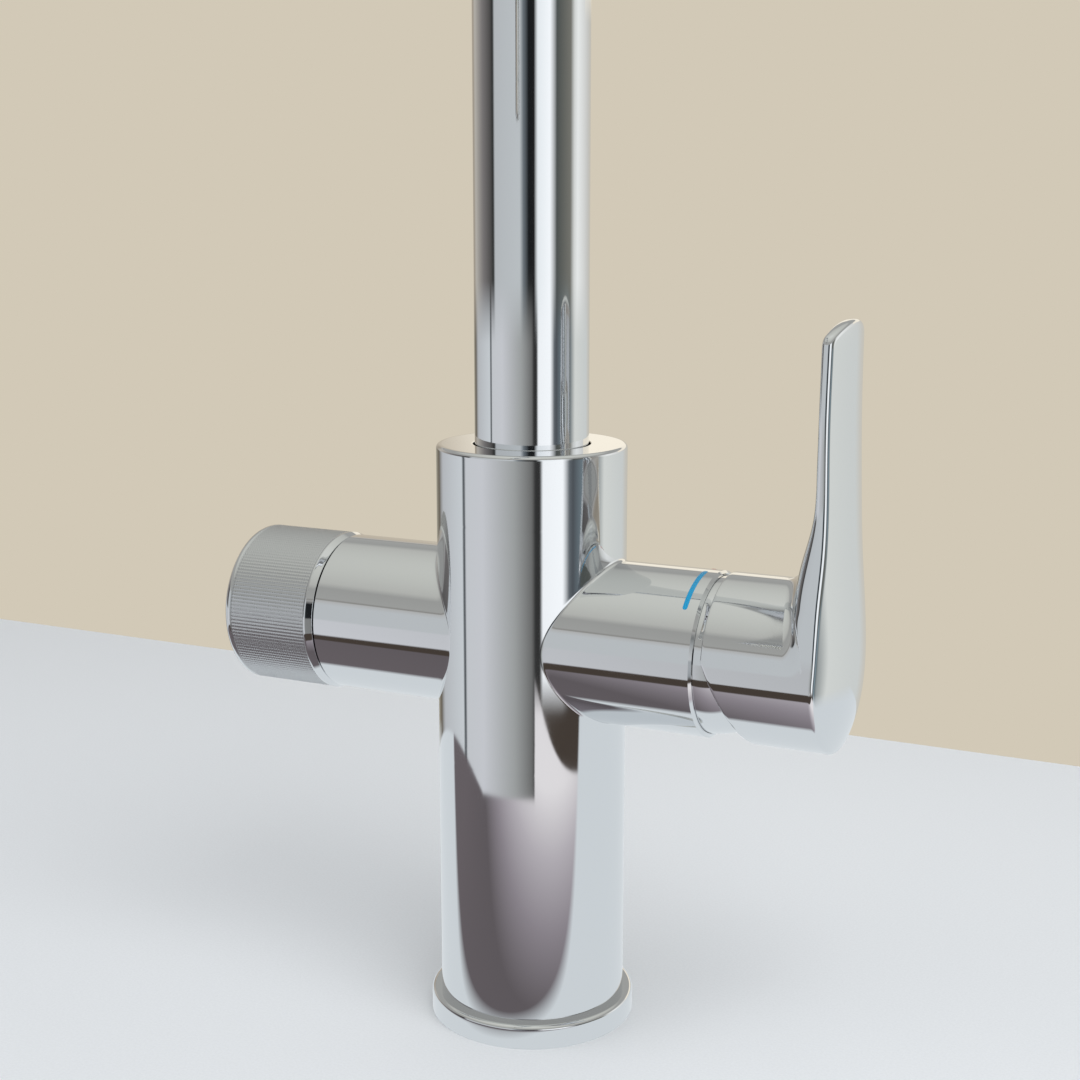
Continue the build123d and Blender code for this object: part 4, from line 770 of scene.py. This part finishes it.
class TAP_OT_spout(bpy.types.Operator):
    """Draws the swan-neck spout tube and turns the ring at its end"""

    bl_idname = "tap.spout"
    bl_label = "Spout"

    # Points round the tube and the ring, and the ring's length under the tube and its neck inside it
    count = 128
    ring_length, neck_length, neck_radius, ring_bore = 12.0, 8.0, 12.4, 11.4

    def execute(self, context):
        s = context.scene.tap_spout
        radius, bend = s.tube_radius / MM, s.bend_radius / MM
        bore = radius - s.tube_wall / MM
        foot, rise = TUBE_LOW[2], TUBE_HIGH[2] - bend - radius
        end = cad_high("outlet_ring")[2] - self.neck_length

        def section(r, along, height):
            # along is the angle round the bend in degrees, height the place on a straight run
            turn = math.radians(along)
            ring = []
            for step in range(self.count):
                angle = 2 * math.pi * step / self.count
                out = bend + r * math.sin(angle)
                ring.append((r * math.cos(angle), out * math.cos(turn) - bend, height + out * math.sin(turn)))
            return ring

        def stations(r):
            rings = [section(r, 0, foot + over) for over in (0.0, 0.4, 8.0, 30.0, 60.0, 90.0)]
            rings += [section(r, 0, rise - 1.0)]
            rings += [section(r, 1.5 * k, rise) for k in range(121)]
            return rings + [section(r, 180, z) for z in (rise - 1.0, rise - 5.0, end + 0.6)]

        # The outer wall with a small rounding at both ends, and the bore back down
        rings = [section(radius - 0.2, 0, foot), section(radius, 0, foot + 0.2)] + stations(radius)[2:]
        for inset, over in ((0.0, 0.25), (0.08, 0.08), (0.3, 0.0)):
            rings.append(section(radius - inset, 180, end + over))
        rings += [section(bore, 180, end)] + stations(bore)[::-1]
        finish_piece(drawn("spout_tube_polished", rings, solid=False), "chrome", "spout", "spout_tube")

        low, neck, edge = end - self.ring_length, end + self.neck_length, s.ring_edge / MM
        profile = rounded([
            (self.ring_bore, low), (radius - edge, low, 0.15), (radius, low + edge, 0.3), (radius, end, 0.25),
            (self.neck_radius, end), (self.neck_radius, neck, 0.3), (self.ring_bore, neck),
            (self.ring_bore, low)])[:-1]
        ring = turned("outlet_ring_polished", profile, self.count, at_outlet)
        finish_piece(ring, "chrome", "spout", "outlet_ring")
        return {"FINISHED"}


class LeverShape:
    """Rings of the lever, a turned hub that runs out into a dished blade, and the holes in its hub."""

    # Place on the arm's axis that the lever tilts about, and the radius of the hub's bowl round it
    pivot, cavity = 50.0, 19.4
    # Radius of the front face from side to side, height of the crown over the tip, radius of its corners
    face_radius, crown, corner = 43.0, 3.7, 3.0
    # Angle where the flank leaves the hub's circle, and points on half the hub's circle and on the flank
    flank_start, hub_count, flank_count = 5.0, 80, 141
    # Place and slant of the hub's rim, the height where the slant starts, and how far it goes
    rim_place, rim_slant, rim_height, rim_most = 52.2, 23.0, 3.0, 61.0

    def __init__(self, s):
        self.hub, self.height = s.hub_radius / MM, s.height / MM
        self.tip, self.waist = s.tip_half_width / MM, s.waist_half_width / MM
        self.front_edge, self.hub_edge, self.back_edge = s.front_edge / MM, s.hub_edge / MM, s.back_edge / MM
        # Place of the front face along the arm by height, and of the back by distance from the arm's axis
        front_line = spline([
            (80.6, self.height + 0.5), (80.7, 60.0), (81.2, 44.0), (82.1, 26.0), (83.5, 8.0), (83.1, -8.0),
            (79.4, -self.hub - 0.5)], (0.0, -1.0), (-0.5, -1.0), 30)
        back_line = spline([
            (69.2, self.hub), (72.0, 29.0), (75.2, 38.0), (76.2, 47.0)], (0.3, 1), (0.0, 1), 40)
        self.front_table = sorted((p.y, p.x) for p in front_line)
        self.back_table = [(p.y, p.x) for p in back_line]

    def stations(self):
        """Places round the lever as seen along the arm: the edge, the way in to the back and the foot on the
        hub's wall, how far the edges behind and in front are rounded, and where the front face starts."""
        # Half the outline: round the hub, up the flank and over the tip
        hub, start = self.hub, math.radians(self.flank_start)
        flank = spline([
            (hub * math.cos(start), hub * math.sin(start)), (17.5, 18.6), (self.waist, 27.5), (13.7, 50.0),
            (self.tip, self.height - self.crown)], (-math.sin(start), math.cos(start)), (-0.03, 1), 80)
        span, count = 90 + self.flank_start, self.hub_count
        angles = [math.radians(-90 + span * k / count) for k in range(count)]
        outline = [(hub * math.cos(a), hub * math.sin(a)) for a in angles]
        outline += self.even(self.over_tip(flank), self.flank_count)
        across = outline + [(-y, z) for y, z in outline[-2:0:-1]]
        stations = []
        for index, point in enumerate(across):
            run = (Vector(across[(index + 1) % len(across)]) - Vector(across[index - 1])).normalized()
            inward, edge = Vector((-run.y, run.x)), Vector(point)
            rise = edge.length - hub
            front = self.hub_edge + (self.front_edge - self.hub_edge) * eased(edge.y / 30.0)
            # The edge behind is fuller over the tip, and low on the blade where it runs into the hub
            back = self.back_edge + 1.9 * max(abs(run.x), eased((44.0 - edge.y) / 20.0))
            back = min(back * eased(rise / 5.0), self.front_at(edge) - self.back_at(edge) - front - 0.1)
            inner = edge + inward * back
            foot = inner.normalized() * hub if rise > WELD else edge
            face = edge + inward * front
            if face.x * edge.x <= 0:
                face.x = 0.0
            stations.append((edge, inner, foot, back, front, face))
        return stations

    def front_at(self, point):
        """Place of the front face, which is a little round from side to side."""
        sagitta = self.face_radius - math.sqrt(self.face_radius**2 - point.x**2)
        return between(self.front_table, point.y) - sagitta

    def back_at(self, point):
        """Place of the blade's back, which lies nearer to the front at the sides of the hub."""
        beyond = min(1.0, max(0.0, (point.length - self.hub) / 30.0))
        return between(self.back_table, point.length) + 4.4 * self.side_share(point) * (1 - beyond) ** 1.5

    @staticmethod
    def side_share(point):
        """How far round to the side a point lies: 0 over or under the axis, 1 level with it."""
        return min(1.0, abs(point.x) / point.length)

    def blend_at(self, station, part):
        """Place of the hollow between the hub's wall and the back, by the share of the way in from the foot.
        The wall turns up through a hollow of about 3 mm. Low on the hub, where there is hardly any step,
        the same turn is drawn out long and soft."""
        edge, inner, foot, *rest = station
        here = foot + (inner - foot) * part
        hollow = 3.3 - 1.3 * self.side_share(here)
        span = inner.length - self.hub
        reach = hollow * min(1.0, span / (hollow + self.back_edge)) if span > 0 else 1.0
        near = min(1.0, (here.length - self.hub) / reach)
        turned_up = self.back_at(here) - hollow * (1 - math.sqrt(max(0.0, 1 - (1 - near) ** 2)))
        leave = 65.9 + 5.7 * self.side_share(here)
        soft = leave + 4.5 * (0.5 - math.sin(math.asin(1 - 2 * part) / 3))
        share = eased((edge.length - self.hub) / 4.0)
        return turned_up * share + soft * (1 - share)

    def rim_at(self, z):
        """Place of the hub's rim by height: upright above, and slanted below so that the lever can tilt."""
        slanted = self.rim_place + (self.rim_height - z) * math.tan(math.radians(self.rim_slant))
        return min(self.rim_most, max(self.rim_place, slanted))

    def bowl_lean(self, angle):
        """How far the bowl's ball face leans from its pole where it meets the hub's slanted rim."""
        z = self.cavity * math.sin(angle)
        for _ in range(20):
            z = math.sqrt(max(self.cavity**2 - (self.rim_at(z) - self.pivot) ** 2, 0.0)) * math.sin(angle)
        return math.acos((self.rim_at(z) - self.pivot) / self.cavity)

    def hub_rings(self, stations):
        """Rings from near the bowl's pole over the rim, along the hub's wall and up the blade's back."""
        rings = []
        feet = [foot for edge, inner, foot, *rest in stations]
        angles = [math.atan2(foot.y, foot.x) for foot in feet]
        leans = [self.bowl_lean(angle) for angle in angles]
        for step in range(2, 17):
            ring = []
            for angle, lean in zip(angles, leans):
                reach = self.cavity * math.sin(lean * step / 16)
                place = self.pivot + self.cavity * math.cos(lean * step / 16)
                ring.append(across_arm(place, (reach * math.cos(angle), reach * math.sin(angle))))
            rings.append(ring)
        # The rim, with a small rounding outside: how far in it lies, and how far behind the bowl's edge
        for inset, behind in ((0.3, 0.0), (0.12, 0.03), (0.03, 0.12), (0.0, 0.3), (0.0, 0.8)):
            share = (self.hub - inset) / self.hub
            rings.append([across_arm(self.rim_at(foot.y) + behind, foot * share) for foot in feet])
        starts = [self.rim_at(foot.y) + 0.8 for foot in feet]
        ends = [self.blend_at(station, 0.0) for station in stations]
        for step in range(1, 10):
            rings.append([across_arm(a + (b - a) * step / 9, foot) for a, b, foot in zip(starts, ends, feet)])
        for step in range(1, 57):
            part = (step / 56) ** 2
            places = [self.blend_at(station, part) for station in stations]
            points = [foot + (inner - foot) * part for edge, inner, foot, *rest in stations]
            rings.append([across_arm(place, point) for place, point in zip(places, points)])
        return rings

    def blade_rings(self, stations):
        """Rings round the edge behind the blade, along its wall, round the front edge and over the front."""
        behind, walls, in_front = [], [], []
        for station in stations:
            edge, inner, foot, back, front, face = station
            share = eased((edge.length - self.hub) / 4.0)
            first = self.blend_at(station, 1.0)
            middle = max(first, self.back_at(edge) * share + (first + back) * (1 - share))
            top = self.front_at(edge)
            behind.append([Vector((first, *inner)), Vector((middle, *edge)), Vector((middle + back, *edge))])
            walls.append((middle + back, top - front, edge))
            start = Vector((top - front, *edge))
            in_front.append([start, Vector((top, *edge)), Vector((self.front_at(face), *face))])
        rings = [self.corner_ring(step / 8, behind) for step in range(1, 9)]
        for part in (0.1, 0.4, 0.7, 0.9, 1.0):
            rings.append([across_arm(a + (b - a) * part, edge) for a, b, edge in walls])
        rings += [self.corner_ring(step / 10, in_front) for step in range(1, 11)]
        # Front face, drawn in along level rows until both sides meet on the middle line
        for step in range(31):
            part = max(0.02, step / 30)
            points = [Vector((face.x * (1 - part), face.y)) for *rest, face in stations]
            rings.append([across_arm(self.front_at(point), point) for point in points])
        return rings

    @staticmethod
    def corner_ring(part, corners):
        """One row of an edge's rounding: an even curve between two ends, drawn towards the corner."""
        ring = []
        for first, middle, last in corners:
            point = first * (1 - part) ** 2 + middle * 2 * part * (1 - part) + last * part**2
            ring.append(across_arm(point.x, point.yz))
        return ring

    def bore(self, lever):
        """Cuts the spindle's square socket, and the hole of the grub screw with the seat of its plug."""
        tilt = math.radians(12.5)
        along = Vector((math.cos(tilt), 0.0, math.sin(tilt)))
        down = Vector((math.sin(tilt), 0.0, -math.cos(tilt)))
        middle = Vector((self.pivot, 0.0, ARM_HEIGHT))
        length, width, reach = 16.3, 7.2, 18.15
        clear_selection()
        bpy.ops.mesh.primitive_cube_add(
            size=1.0, location=(middle + along * reach) * MM, rotation=(0.0, -tilt, 0.0),
            scale=(length * MM, width * MM, width * MM))
        cut(lever, bpy.context.object)
        # Radius of each hole, and where it starts and ends under the spindle's axis
        for radius, near, far in ((2.52, 1.0, 22.0), (3.22, 21.54, 30.0)):
            clear_selection()
            place = middle + along * 21.0 + down * (near + far) / 2
            bpy.ops.mesh.primitive_cylinder_add(
                vertices=48, radius=radius * MM, depth=(far - near) * MM, location=place * MM,
                rotation=(0.0, -tilt, 0.0))
            cut(lever, bpy.context.object)

    def over_tip(self, flank):
        """The flank and half the crown over the tip, with the corner between them rounded."""
        radius = (self.tip * self.tip + self.crown * self.crown) / (2 * self.crown)
        low, corner = Vector((0.0, self.height - radius)), self.corner

        def middle_of(index):
            run = (flank[index + 1] - flank[index]).normalized()
            return flank[index] + Vector((-run.y, run.x)) * corner

        # The rounding's middle lies its own radius inside both the flank and the crown
        near_tip = range(len(flank) - 60, len(flank) - 1)
        index = min(near_tip, key=lambda k: abs((middle_of(k) - low).length - (radius - corner)))
        middle = middle_of(index)
        touch = middle + (middle - low).normalized() * corner
        first, last = flank[index] - middle, touch - middle
        line = flank[:index] + [middle + first.slerp(last, k / 16) * corner for k in range(17)]
        spread = math.atan2(touch.x, touch.y - low.y)
        for step in range(1, 25):
            turn = spread * (1 - step / 24)
            line.append(Vector((radius * math.sin(turn), low.y + radius * math.cos(turn))))
        return line

    @staticmethod
    def even(line, count):
        """The same line with its points at even distances."""
        lengths = [0.0]
        for a, b in zip(line, line[1:]):
            lengths.append(lengths[-1] + (b - a).length)
        points = []
        k = 1
        for step in range(count):
            target = lengths[-1] * step / (count - 1)
            while k < len(line) - 1 and lengths[k] < target:
                k += 1
            part = (target - lengths[k - 1]) / (lengths[k] - lengths[k - 1])
            points.append(line[k - 1].lerp(line[k], part).to_tuple())
        return points


class TAP_OT_lever(bpy.types.Operator):
    """Models the mixer lever and the holes in its hub"""

    bl_idname = "tap.lever"
    bl_label = "Lever"

    def execute(self, context):
        shape = LeverShape(context.scene.tap_lever)
        stations = shape.stations()
        rings = shape.hub_rings(stations) + shape.blade_rings(stations)
        lever, row = begin("lever_polished", rings[0])
        draw_out(lever, row, rings[1:])
        pole(lever, row)
        weld()
        shape.bore(lever)
        finish_piece(lever, "chrome", "lever", "lever", angle=40.0)
        return {"FINISHED"}


class TAP_OT_knob(bpy.types.Operator):
    """Turns the filtered-water knob with its knurl, and the cap in its end"""

    bl_idname = "tap.knob"
    bl_label = "Knob"

    # Thickness of the knob's wall, of the rim round its cap, and of the cap
    wall, rim, cap_height = 3.0, 5.0, 3.0
    # The collar that holds the insert, and how deep the recess, the web behind it and the collar reach
    collar_radius, collar_bore = 10.5, 8.22
    recess_depth, web_depth, collar_depth = 10.9, 14.9, 20.9

    def execute(self, context):
        s = context.scene.tap_knob
        radius, ridge, groove = s.radius / MM, s.knurl_depth / MM, s.groove_depth / MM
        count = 4 * round(2 * math.pi * radius / (s.knurl_pitch / MM))
        # The photo shows no dark gap at the arm, so the skirt comes nearer to it than in the CAD
        near, far = -KNOB_HIGH[0] - s.skirt_reach / MM, -KNOB_LOW[0]
        start, end = near + 2.0, far - 2.1
        cap_radius, inner, play = radius - self.rim, radius - self.wall, 0.02
        floor, web, collar = far - self.recess_depth, far - self.web_depth, far - self.collar_depth
        inside = rounded([
            (0.0, floor), (cap_radius + play, floor, 0.3), (cap_radius + play, far, 0.15), (radius, far, 1.8),
            (radius, end)], 8)[::-1]
        outside = rounded([
            (radius, start), (radius, near + 1.6, 0.3), (radius - 0.8, near, 0.12), (inner, near, 0.2),
            (inner, web), (self.collar_radius, web), (self.collar_radius, collar, 0.2),
            (self.collar_bore, collar), (self.collar_bore, web), (0.0, web)])[::-1]
        rows = 2 * round((end - start) / s.groove_pitch * MM)
        rings = [circle(r, place, count, on_left) for r, place in outside[1:]]
        for row_number in range(1, rows):
            place = start + (end - start) * row_number / rows
            ring = []
            for step in range(count):
                angle = 2 * math.pi * step / count
                across = (0.0, 0.5, 1.0, 0.5)[step % 4] * ridge
                reach = radius - max(across, groove if row_number % 2 else 0.0)
                ring.append(on_left(reach * math.cos(angle), reach * math.sin(angle), place))
            rings.append(ring)
        rings += [circle(r, place, count, on_left) for r, place in inside[:-1]]
        knob = drawn("knob_knurled", rings)
        finish_piece(knob, "satin_chrome", "knob", "knob", angle=28.0)
        # The rims beside the knurl are polished, not satin
        knob.data.materials.append(FINISHES["chrome"])
        for face in knob.data.polygons:
            middle = face.center / MM
            reach = math.hypot(middle.y, middle.z - ARM_HEIGHT)
            place = -middle.x
            if (place < start and reach > radius - 2.0) or (place > end and reach > cap_radius):
                face.material_index = 1

        low = far - self.cap_height
        profile = rounded([(0.0, low), (cap_radius, low), (cap_radius, far, 0.4), (0.0, far)])
        finish_piece(turned("knob_cap_satin", profile, 128, on_left), "satin_chrome", "knob", "knob_cap")
        return {"FINISHED"}


class TAP_OT_stage(bpy.types.Operator):
    """Sets the worktop, the room that the chrome reflects, the lamps and the camera"""

    bl_idname = "tap.stage"
    bl_label = "Stage"

    def execute(self, context):
        colours = context.scene.tap_colours
        self.worktop(colours)
        self.room(colours)
        self.lamps()
        self.camera(context)
        context.scene.view_settings.view_transform = "Standard"
        return {"FINISHED"}

    @staticmethod
    def worktop(colours):
        """A pale worktop 30 mm thick, with the hole that the shank passes through."""
        clear_selection()
        width, depth, thickness, middle, hole_radius = 2.4, 0.86, 0.03, -0.17, 0.0175
        bpy.ops.mesh.primitive_cube_add(
            size=1.0, location=(0.0, middle, -thickness / 2), scale=(width, depth, thickness))
        top = bpy.context.object
        top.name = "worktop"
        bpy.ops.object.transform_apply(location=True, rotation=True, scale=True)
        bpy.ops.object.mode_set(mode="EDIT")
        bpy.ops.mesh.select_all(action="SELECT")
        bpy.ops.mesh.bevel(offset=0.0008, segments=3)
        bpy.ops.object.mode_set(mode="OBJECT")
        clear_selection()
        bpy.ops.mesh.primitive_cylinder_add(
            vertices=96, radius=hole_radius, depth=0.1, location=(0.0, 0.0, -thickness / 2))
        cut(top, bpy.context.object)
        only(top)
        bpy.ops.object.shade_smooth_by_angle(angle=math.radians(SMOOTH_ANGLE))
        # Cast solid surface, matt and almost white, with a very fine mineral speckle
        material, tree = new_material("solid_surface_cast_and_painted_reflection")
        where = add_node(tree, "TexCoord").outputs["Object"]
        speck = add_node(tree, "TexNoise", {"Vector": where, "Scale": 1500.0, "Detail": 2.0})
        colour = add_node(tree, "ValToRGB", {"Fac": speck})
        ramp_stops(colour, [(0.35, "#e8ebee"), (0.65, colours.worktop)])
        matt = add_node(tree, "BsdfPrincipled", {"Base Color": colour, "Roughness": 0.55})
        # Painted reflection: for glossy rays the worktop glows with a pattern that stands in for what the
        # chrome
        # reflects: pale, with a painted dark bowl in front of the tap and a painted brown strip past it, and
        # beyond them the room. Seen low over the worktop, the strip is hidden behind a painted pale panel,
        # except to the right
        x, y, _ = add_node(tree, "SeparateXYZ", {"Vector": where}).outputs
        away = add_node(tree, "VectorMath", {0: where}, operation="LENGTH").outputs["Value"]
        facing = add_node(tree, "LayerWeight", {"Blend": 0.5}).outputs["Facing"]
        low = add_node(tree, "MapRange", {"Value": facing, "From Min": 0.60, "From Max": 0.635})
        over = add_node(tree, "Math", {0: x, 1: 0.75}, operation="MULTIPLY")
        slant = add_node(tree, "Math", {0: y, 1: -0.66, 2: over}, operation="MULTIPLY_ADD")
        depth = add_node(tree, "MapRange", {"Value": slant, "From Min": -0.06, "From Max": 0.24})
        bowl = add_node(tree, "ValToRGB", {"Fac": depth})
        ramp_stops(bowl, [(0.0, "#665f62"), (0.33, "#5f595c"), (0.49, "#8a8389"), (0.68, "#b3adb2"),
                          (0.9, "#e0dcdd")])
        side = add_node(tree, "Math", {0: y, 1: 0.56, 2: x}, operation="MULTIPLY_ADD")
        to_right = add_node(tree, "MapRange", {"Value": side, "From Min": -0.004, "From Max": 0.004})
        strip_above = add_node(tree, "MapRange", {"Value": y, "From Min": -0.150, "From Max": -0.158})
        wedge = add_node(tree, "Math", {0: y, 1: -0.17, 2: x}, operation="MULTIPLY_ADD")
        strip_low = add_node(tree, "MapRange", {"Value": wedge, "From Min": 0.226, "From Max": 0.231})
        strip_low = add_node(tree, "Math", {0: to_right, 1: strip_low}, operation="MULTIPLY")
        painted_strip_reflection_mask = add_node(tree, "Mix", {"Factor": low, "A": strip_above, "B": strip_low}, data_type="RGBA")
        painted_dark_reflection = add_node(tree, "Mix", {"Factor": painted_strip_reflection_mask, "A": bowl, "B": linear("#443c36")}, data_type="RGBA")
        front = add_node(tree, "MapRange", {"Value": y, "From Min": -0.030, "From Max": -0.040})
        panel = linear("#cdd2d5")
        pale = add_node(tree, "Mix", {"Factor": front, "A": panel, "B": painted_dark_reflection}, data_type="RGBA")
        # Painted reflection: this emission glows only for glossy rays, though the worktop is no lamp
        seen = add_node(tree, "Emission", {"Color": pale, "Strength": 1.22})
        # Where the painted reflection ends and the room shows through it
        left = add_node(tree, "Math", {0: x, 1: 0.11}, operation="ADD")
        left = add_node(tree, "Math", {0: left, 1: 0.0}, operation="MINIMUM")
        rounded_end = add_node(tree, "Math", {0: left, 1: 0.38, 2: away}, operation="MULTIPLY_ADD")
        room_low = add_node(tree, "MapRange", {"Value": rounded_end, "From Min": 0.200, "From Max": 0.204})
        to_left = add_node(tree, "Math", {0: 1.0, 1: to_right}, operation="SUBTRACT")
        room_low = add_node(tree, "Math", {0: to_left, 1: room_low}, operation="MULTIPLY")
        room_above = add_node(tree, "MapRange", {"Value": y, "From Min": -0.222, "From Max": -0.236})
        room = add_node(tree, "Mix", {"Factor": low, "A": room_above, "B": room_low}, data_type="RGBA")
        far = add_node(tree, "MapRange", {"Value": away, "From Min": 0.3, "From Max": 0.36})
        clear_part = add_node(tree, "Math", {0: room, 1: far}, operation="MAXIMUM")
        clear = add_node(tree, "BsdfTransparent")
        mirrored = add_node(tree, "MixShader", {0: clear_part, 1: seen, 2: clear})
        ray = add_node(tree, "LightPath")
        # Matt worktop for all rays but glossy ones, which see the painted reflection
        surface = add_node(tree, "MixShader", {0: ray.outputs["Is Glossy Ray"], 1: matt, 2: mirrored})
        add_node(tree, "OutputMaterial", {"Surface": surface})
        top.data.materials.clear()
        top.data.materials.append(material)

    @staticmethod
    def room(colours):
        """A plain backdrop for the camera, a soft even light, and a room in broad bands for the chrome."""
        world = bpy.data.worlds.new("studio")
        bpy.context.scene.world = world
        world.use_nodes = True
        tree = world.node_tree
        tree.nodes.clear()
        look = add_node(tree, "TexCoord").outputs["Generated"]
        x, y, z = add_node(tree, "SeparateXYZ", {"Vector": look}).outputs
        front = add_node(tree, "Math", {0: y, 1: -1.0}, operation="MULTIPLY")
        bearing = add_node(tree, "Math", {0: x, 1: front}, operation="ARCTAN2")
        around = add_node(tree, "MapRange", {"Value": bearing, "From Min": -math.pi, "From Max": math.pi})

        # Bearings in degrees from the front, to the right of the tap positive
        low = add_node(tree, "ValToRGB", {"Fac": around})
        ramp_stops(low, by_bearing([
            (-180, "#bcb9b1"), (-150, "#aaa597"), (-122, "#625b50"), (-108, "#b2b4b7"), (-66, "#c6cacd"),
            (-64, "#505457"), (-62, "#505457"), (-60, "#c3c5c8"), (-35, "#c5c6ca"), (5, "#9c9e9d"),
            (26, "#6a6a69"), (30, "#333333"), (36, "#2f2f2f"), (39, "#f0f2f4"), (63, "#f6f8fa"),
            (71, "#5f656a"),
            (76, "#4c5156"), (100, "#809199"), (107, "#5e676b"), (122, "#d0d2ce"), (165, "#c4c7c5"),
            (179, "#bcb9b1")]))
        high = add_node(tree, "ValToRGB", {"Fac": around})
        ramp_stops(high, by_bearing([
            (-180, "#bcb9b1"), (-148, "#b5ab9b"), (-130, "#968d80"), (-115, "#b0aba3"), (-84, "#777372"),
            (-62, "#504e4d"), (-54, "#272827"), (-50, "#b4b7b9"), (3, "#bbbfc1"), (10, "#6b7277"),
            (20, "#191b1d"), (31, "#1e1f20"), (38, "#e6eaec"), (62, "#f6f8fa"), (76, "#4d514f"),
            (108, "#74736c"), (118, "#d2d3d0"), (128, "#e7e8e6"), (165, "#c5c4c0"), (179, "#bcb9b1")]))
        rise = add_node(tree, "MapRange", {"Value": z, "From Min": -0.085, "From Max": -0.05})
        walls = add_node(tree, "Mix", {"Factor": rise, "A": low, "B": high}, data_type="RGBA")
        overhead = add_node(tree, "MapRange", {"Value": z, "From Min": 0.0, "From Max": 1.0})
        ceiling = add_node(tree, "ValToRGB", {"Fac": overhead})
        ramp_stops(ceiling, [
            (0.0, "#b0afad"), (0.34, "#aeadab"), (0.36, "#83817d"), (0.39, "#9c9c99"), (0.58, "#989895"),
            (0.66, "#b1b1ac"), (0.82, "#bbbcb6"), (0.93, "#c2c3bd"), (1.0, "#cccdc8")])
        lift = add_node(tree, "MapRange", {"Value": z, "From Min": 0.26, "From Max": 0.36})
        mirrored = add_node(tree, "Mix", {"Factor": lift, "A": walls, "B": ceiling}, data_type="RGBA")
        # Behind the tap the wall catches the sun from a little above the horizon up
        behind = add_node(tree, "MapRange", {"Value": y, "From Min": 0.862, "From Max": 0.885})
        above = add_node(tree, "MapRange", {"Value": z, "From Min": 0.09, "From Max": 0.12})
        below = add_node(tree, "MapRange", {"Value": z, "From Min": 0.34, "From Max": 0.3})
        sunny = add_node(tree, "Math", {0: behind, 1: above}, operation="MULTIPLY")
        sunny = add_node(tree, "Math", {0: sunny, 1: below}, operation="MULTIPLY")
        wall_in_sun = linear("#ece4d4")
        mirrored = add_node(tree, "Mix", {"Factor": sunny, "A": mirrored, "B": wall_in_sun}, data_type="RGBA")
        room = add_node(tree, "Background", {"Color": mirrored, "Strength": 1.25})
        soft = add_node(tree, "Background", {"Color": linear("#e6e8ea"), "Strength": 0.7})
        plain = add_node(tree, "Background", {"Color": linear(colours.backdrop), "Strength": 1.0})
        ray = add_node(tree, "LightPath")
        others = add_node(tree, "MixShader", {0: ray.outputs["Is Glossy Ray"], 1: soft, 2: room})
        mixed = add_node(tree, "MixShader", {0: ray.outputs["Is Camera Ray"], 1: others, 2: plain})
        add_node(tree, "OutputWorld", {"Surface": mixed})

    @staticmethod
    def lamps():
        """Two large soft lamps, a key from the upper right and a fill from the left."""
        for name, place, power, width in (
            ("key_lamp", (0.9, -0.6, 1.3), 14.0, 1.2), ("fill_lamp", (-1.1, -0.8, 0.9), 5.0, 1.4),
        ):
            clear_selection()
            toward = (Vector((0.0, 0.0, 0.1)) - Vector(place)).to_track_quat("-Z", "Y").to_euler()
            bpy.ops.object.light_add(type="AREA", location=place, rotation=toward)
            lamp = bpy.context.object
            lamp.name = name
            lamp.data.energy = power
            lamp.data.size = width
            # The bands of the room already stand for the windows in the chrome
            lamp.visible_glossy = False

    @staticmethod
    def camera(context):
        """The camera of the photograph: from the right and a little above, at a short distance."""
        clear_selection()
        down, sideways = 11.31, 25.91
        turn = (math.radians(90.0 - down), 0.0, math.radians(sideways))
        bpy.ops.object.camera_add(location=(0.1874, -0.3812, 0.2083), rotation=turn)
        camera = bpy.context.object
        camera.name = "camera"
        camera.data.sensor_width = 36.0
        camera.data.lens = 58.21
        context.scene.camera = camera


class TAP_PT_panel(bpy.types.Panel):
    """Sizes, colours and steps of the tap"""

    bl_idname = "TAP_PT_panel"
    bl_label = "Kitchen tap"
    bl_space_type = "VIEW_3D"
    bl_region_type = "UI"
    bl_category = "Tap"

    def draw(self, context):
        for group in ("tap_body", "tap_spout", "tap_lever", "tap_knob", "tap_colours"):
            settings = getattr(context.scene, group)
            box = self.layout.box()
            box.label(text=settings.bl_rna.description)
            for name in settings.__annotations__:
                box.prop(settings, name)
        for step in STEPS:
            self.layout.operator("tap." + step)


STEPS = ("finishes", "body", "base", "marks", "dome", "spout", "lever", "knob", "stage")
GROUPS = {
    "tap_body": TapBodySizes,
    "tap_spout": TapSpoutSizes,
    "tap_lever": TapLeverSizes,
    "tap_knob": TapKnobSizes,
    "tap_colours": TapColours,
}
CLASSES = (
    TapBodySizes,
    TapSpoutSizes,
    TapLeverSizes,
    TapKnobSizes,
    TapColours,
    TAP_OT_finishes,
    TAP_OT_body,
    TAP_OT_base,
    TAP_OT_marks,
    TAP_OT_dome,
    TAP_OT_spout,
    TAP_OT_lever,
    TAP_OT_knob,
    TAP_OT_stage,
    TAP_PT_panel,
)


def register():
    for made in CLASSES:
        bpy.utils.register_class(made)
    for name, group in GROUPS.items():
        setattr(bpy.types.Scene, name, bpy.props.PointerProperty(type=group))


def unregister():
    for name in GROUPS:
        delattr(bpy.types.Scene, name)
    for made in reversed(CLASSES):
        bpy.utils.unregister_class(made)


def main():
    register()
    for step in STEPS:
        getattr(bpy.ops.tap, step)()


if __name__ == "__main__":
    main()
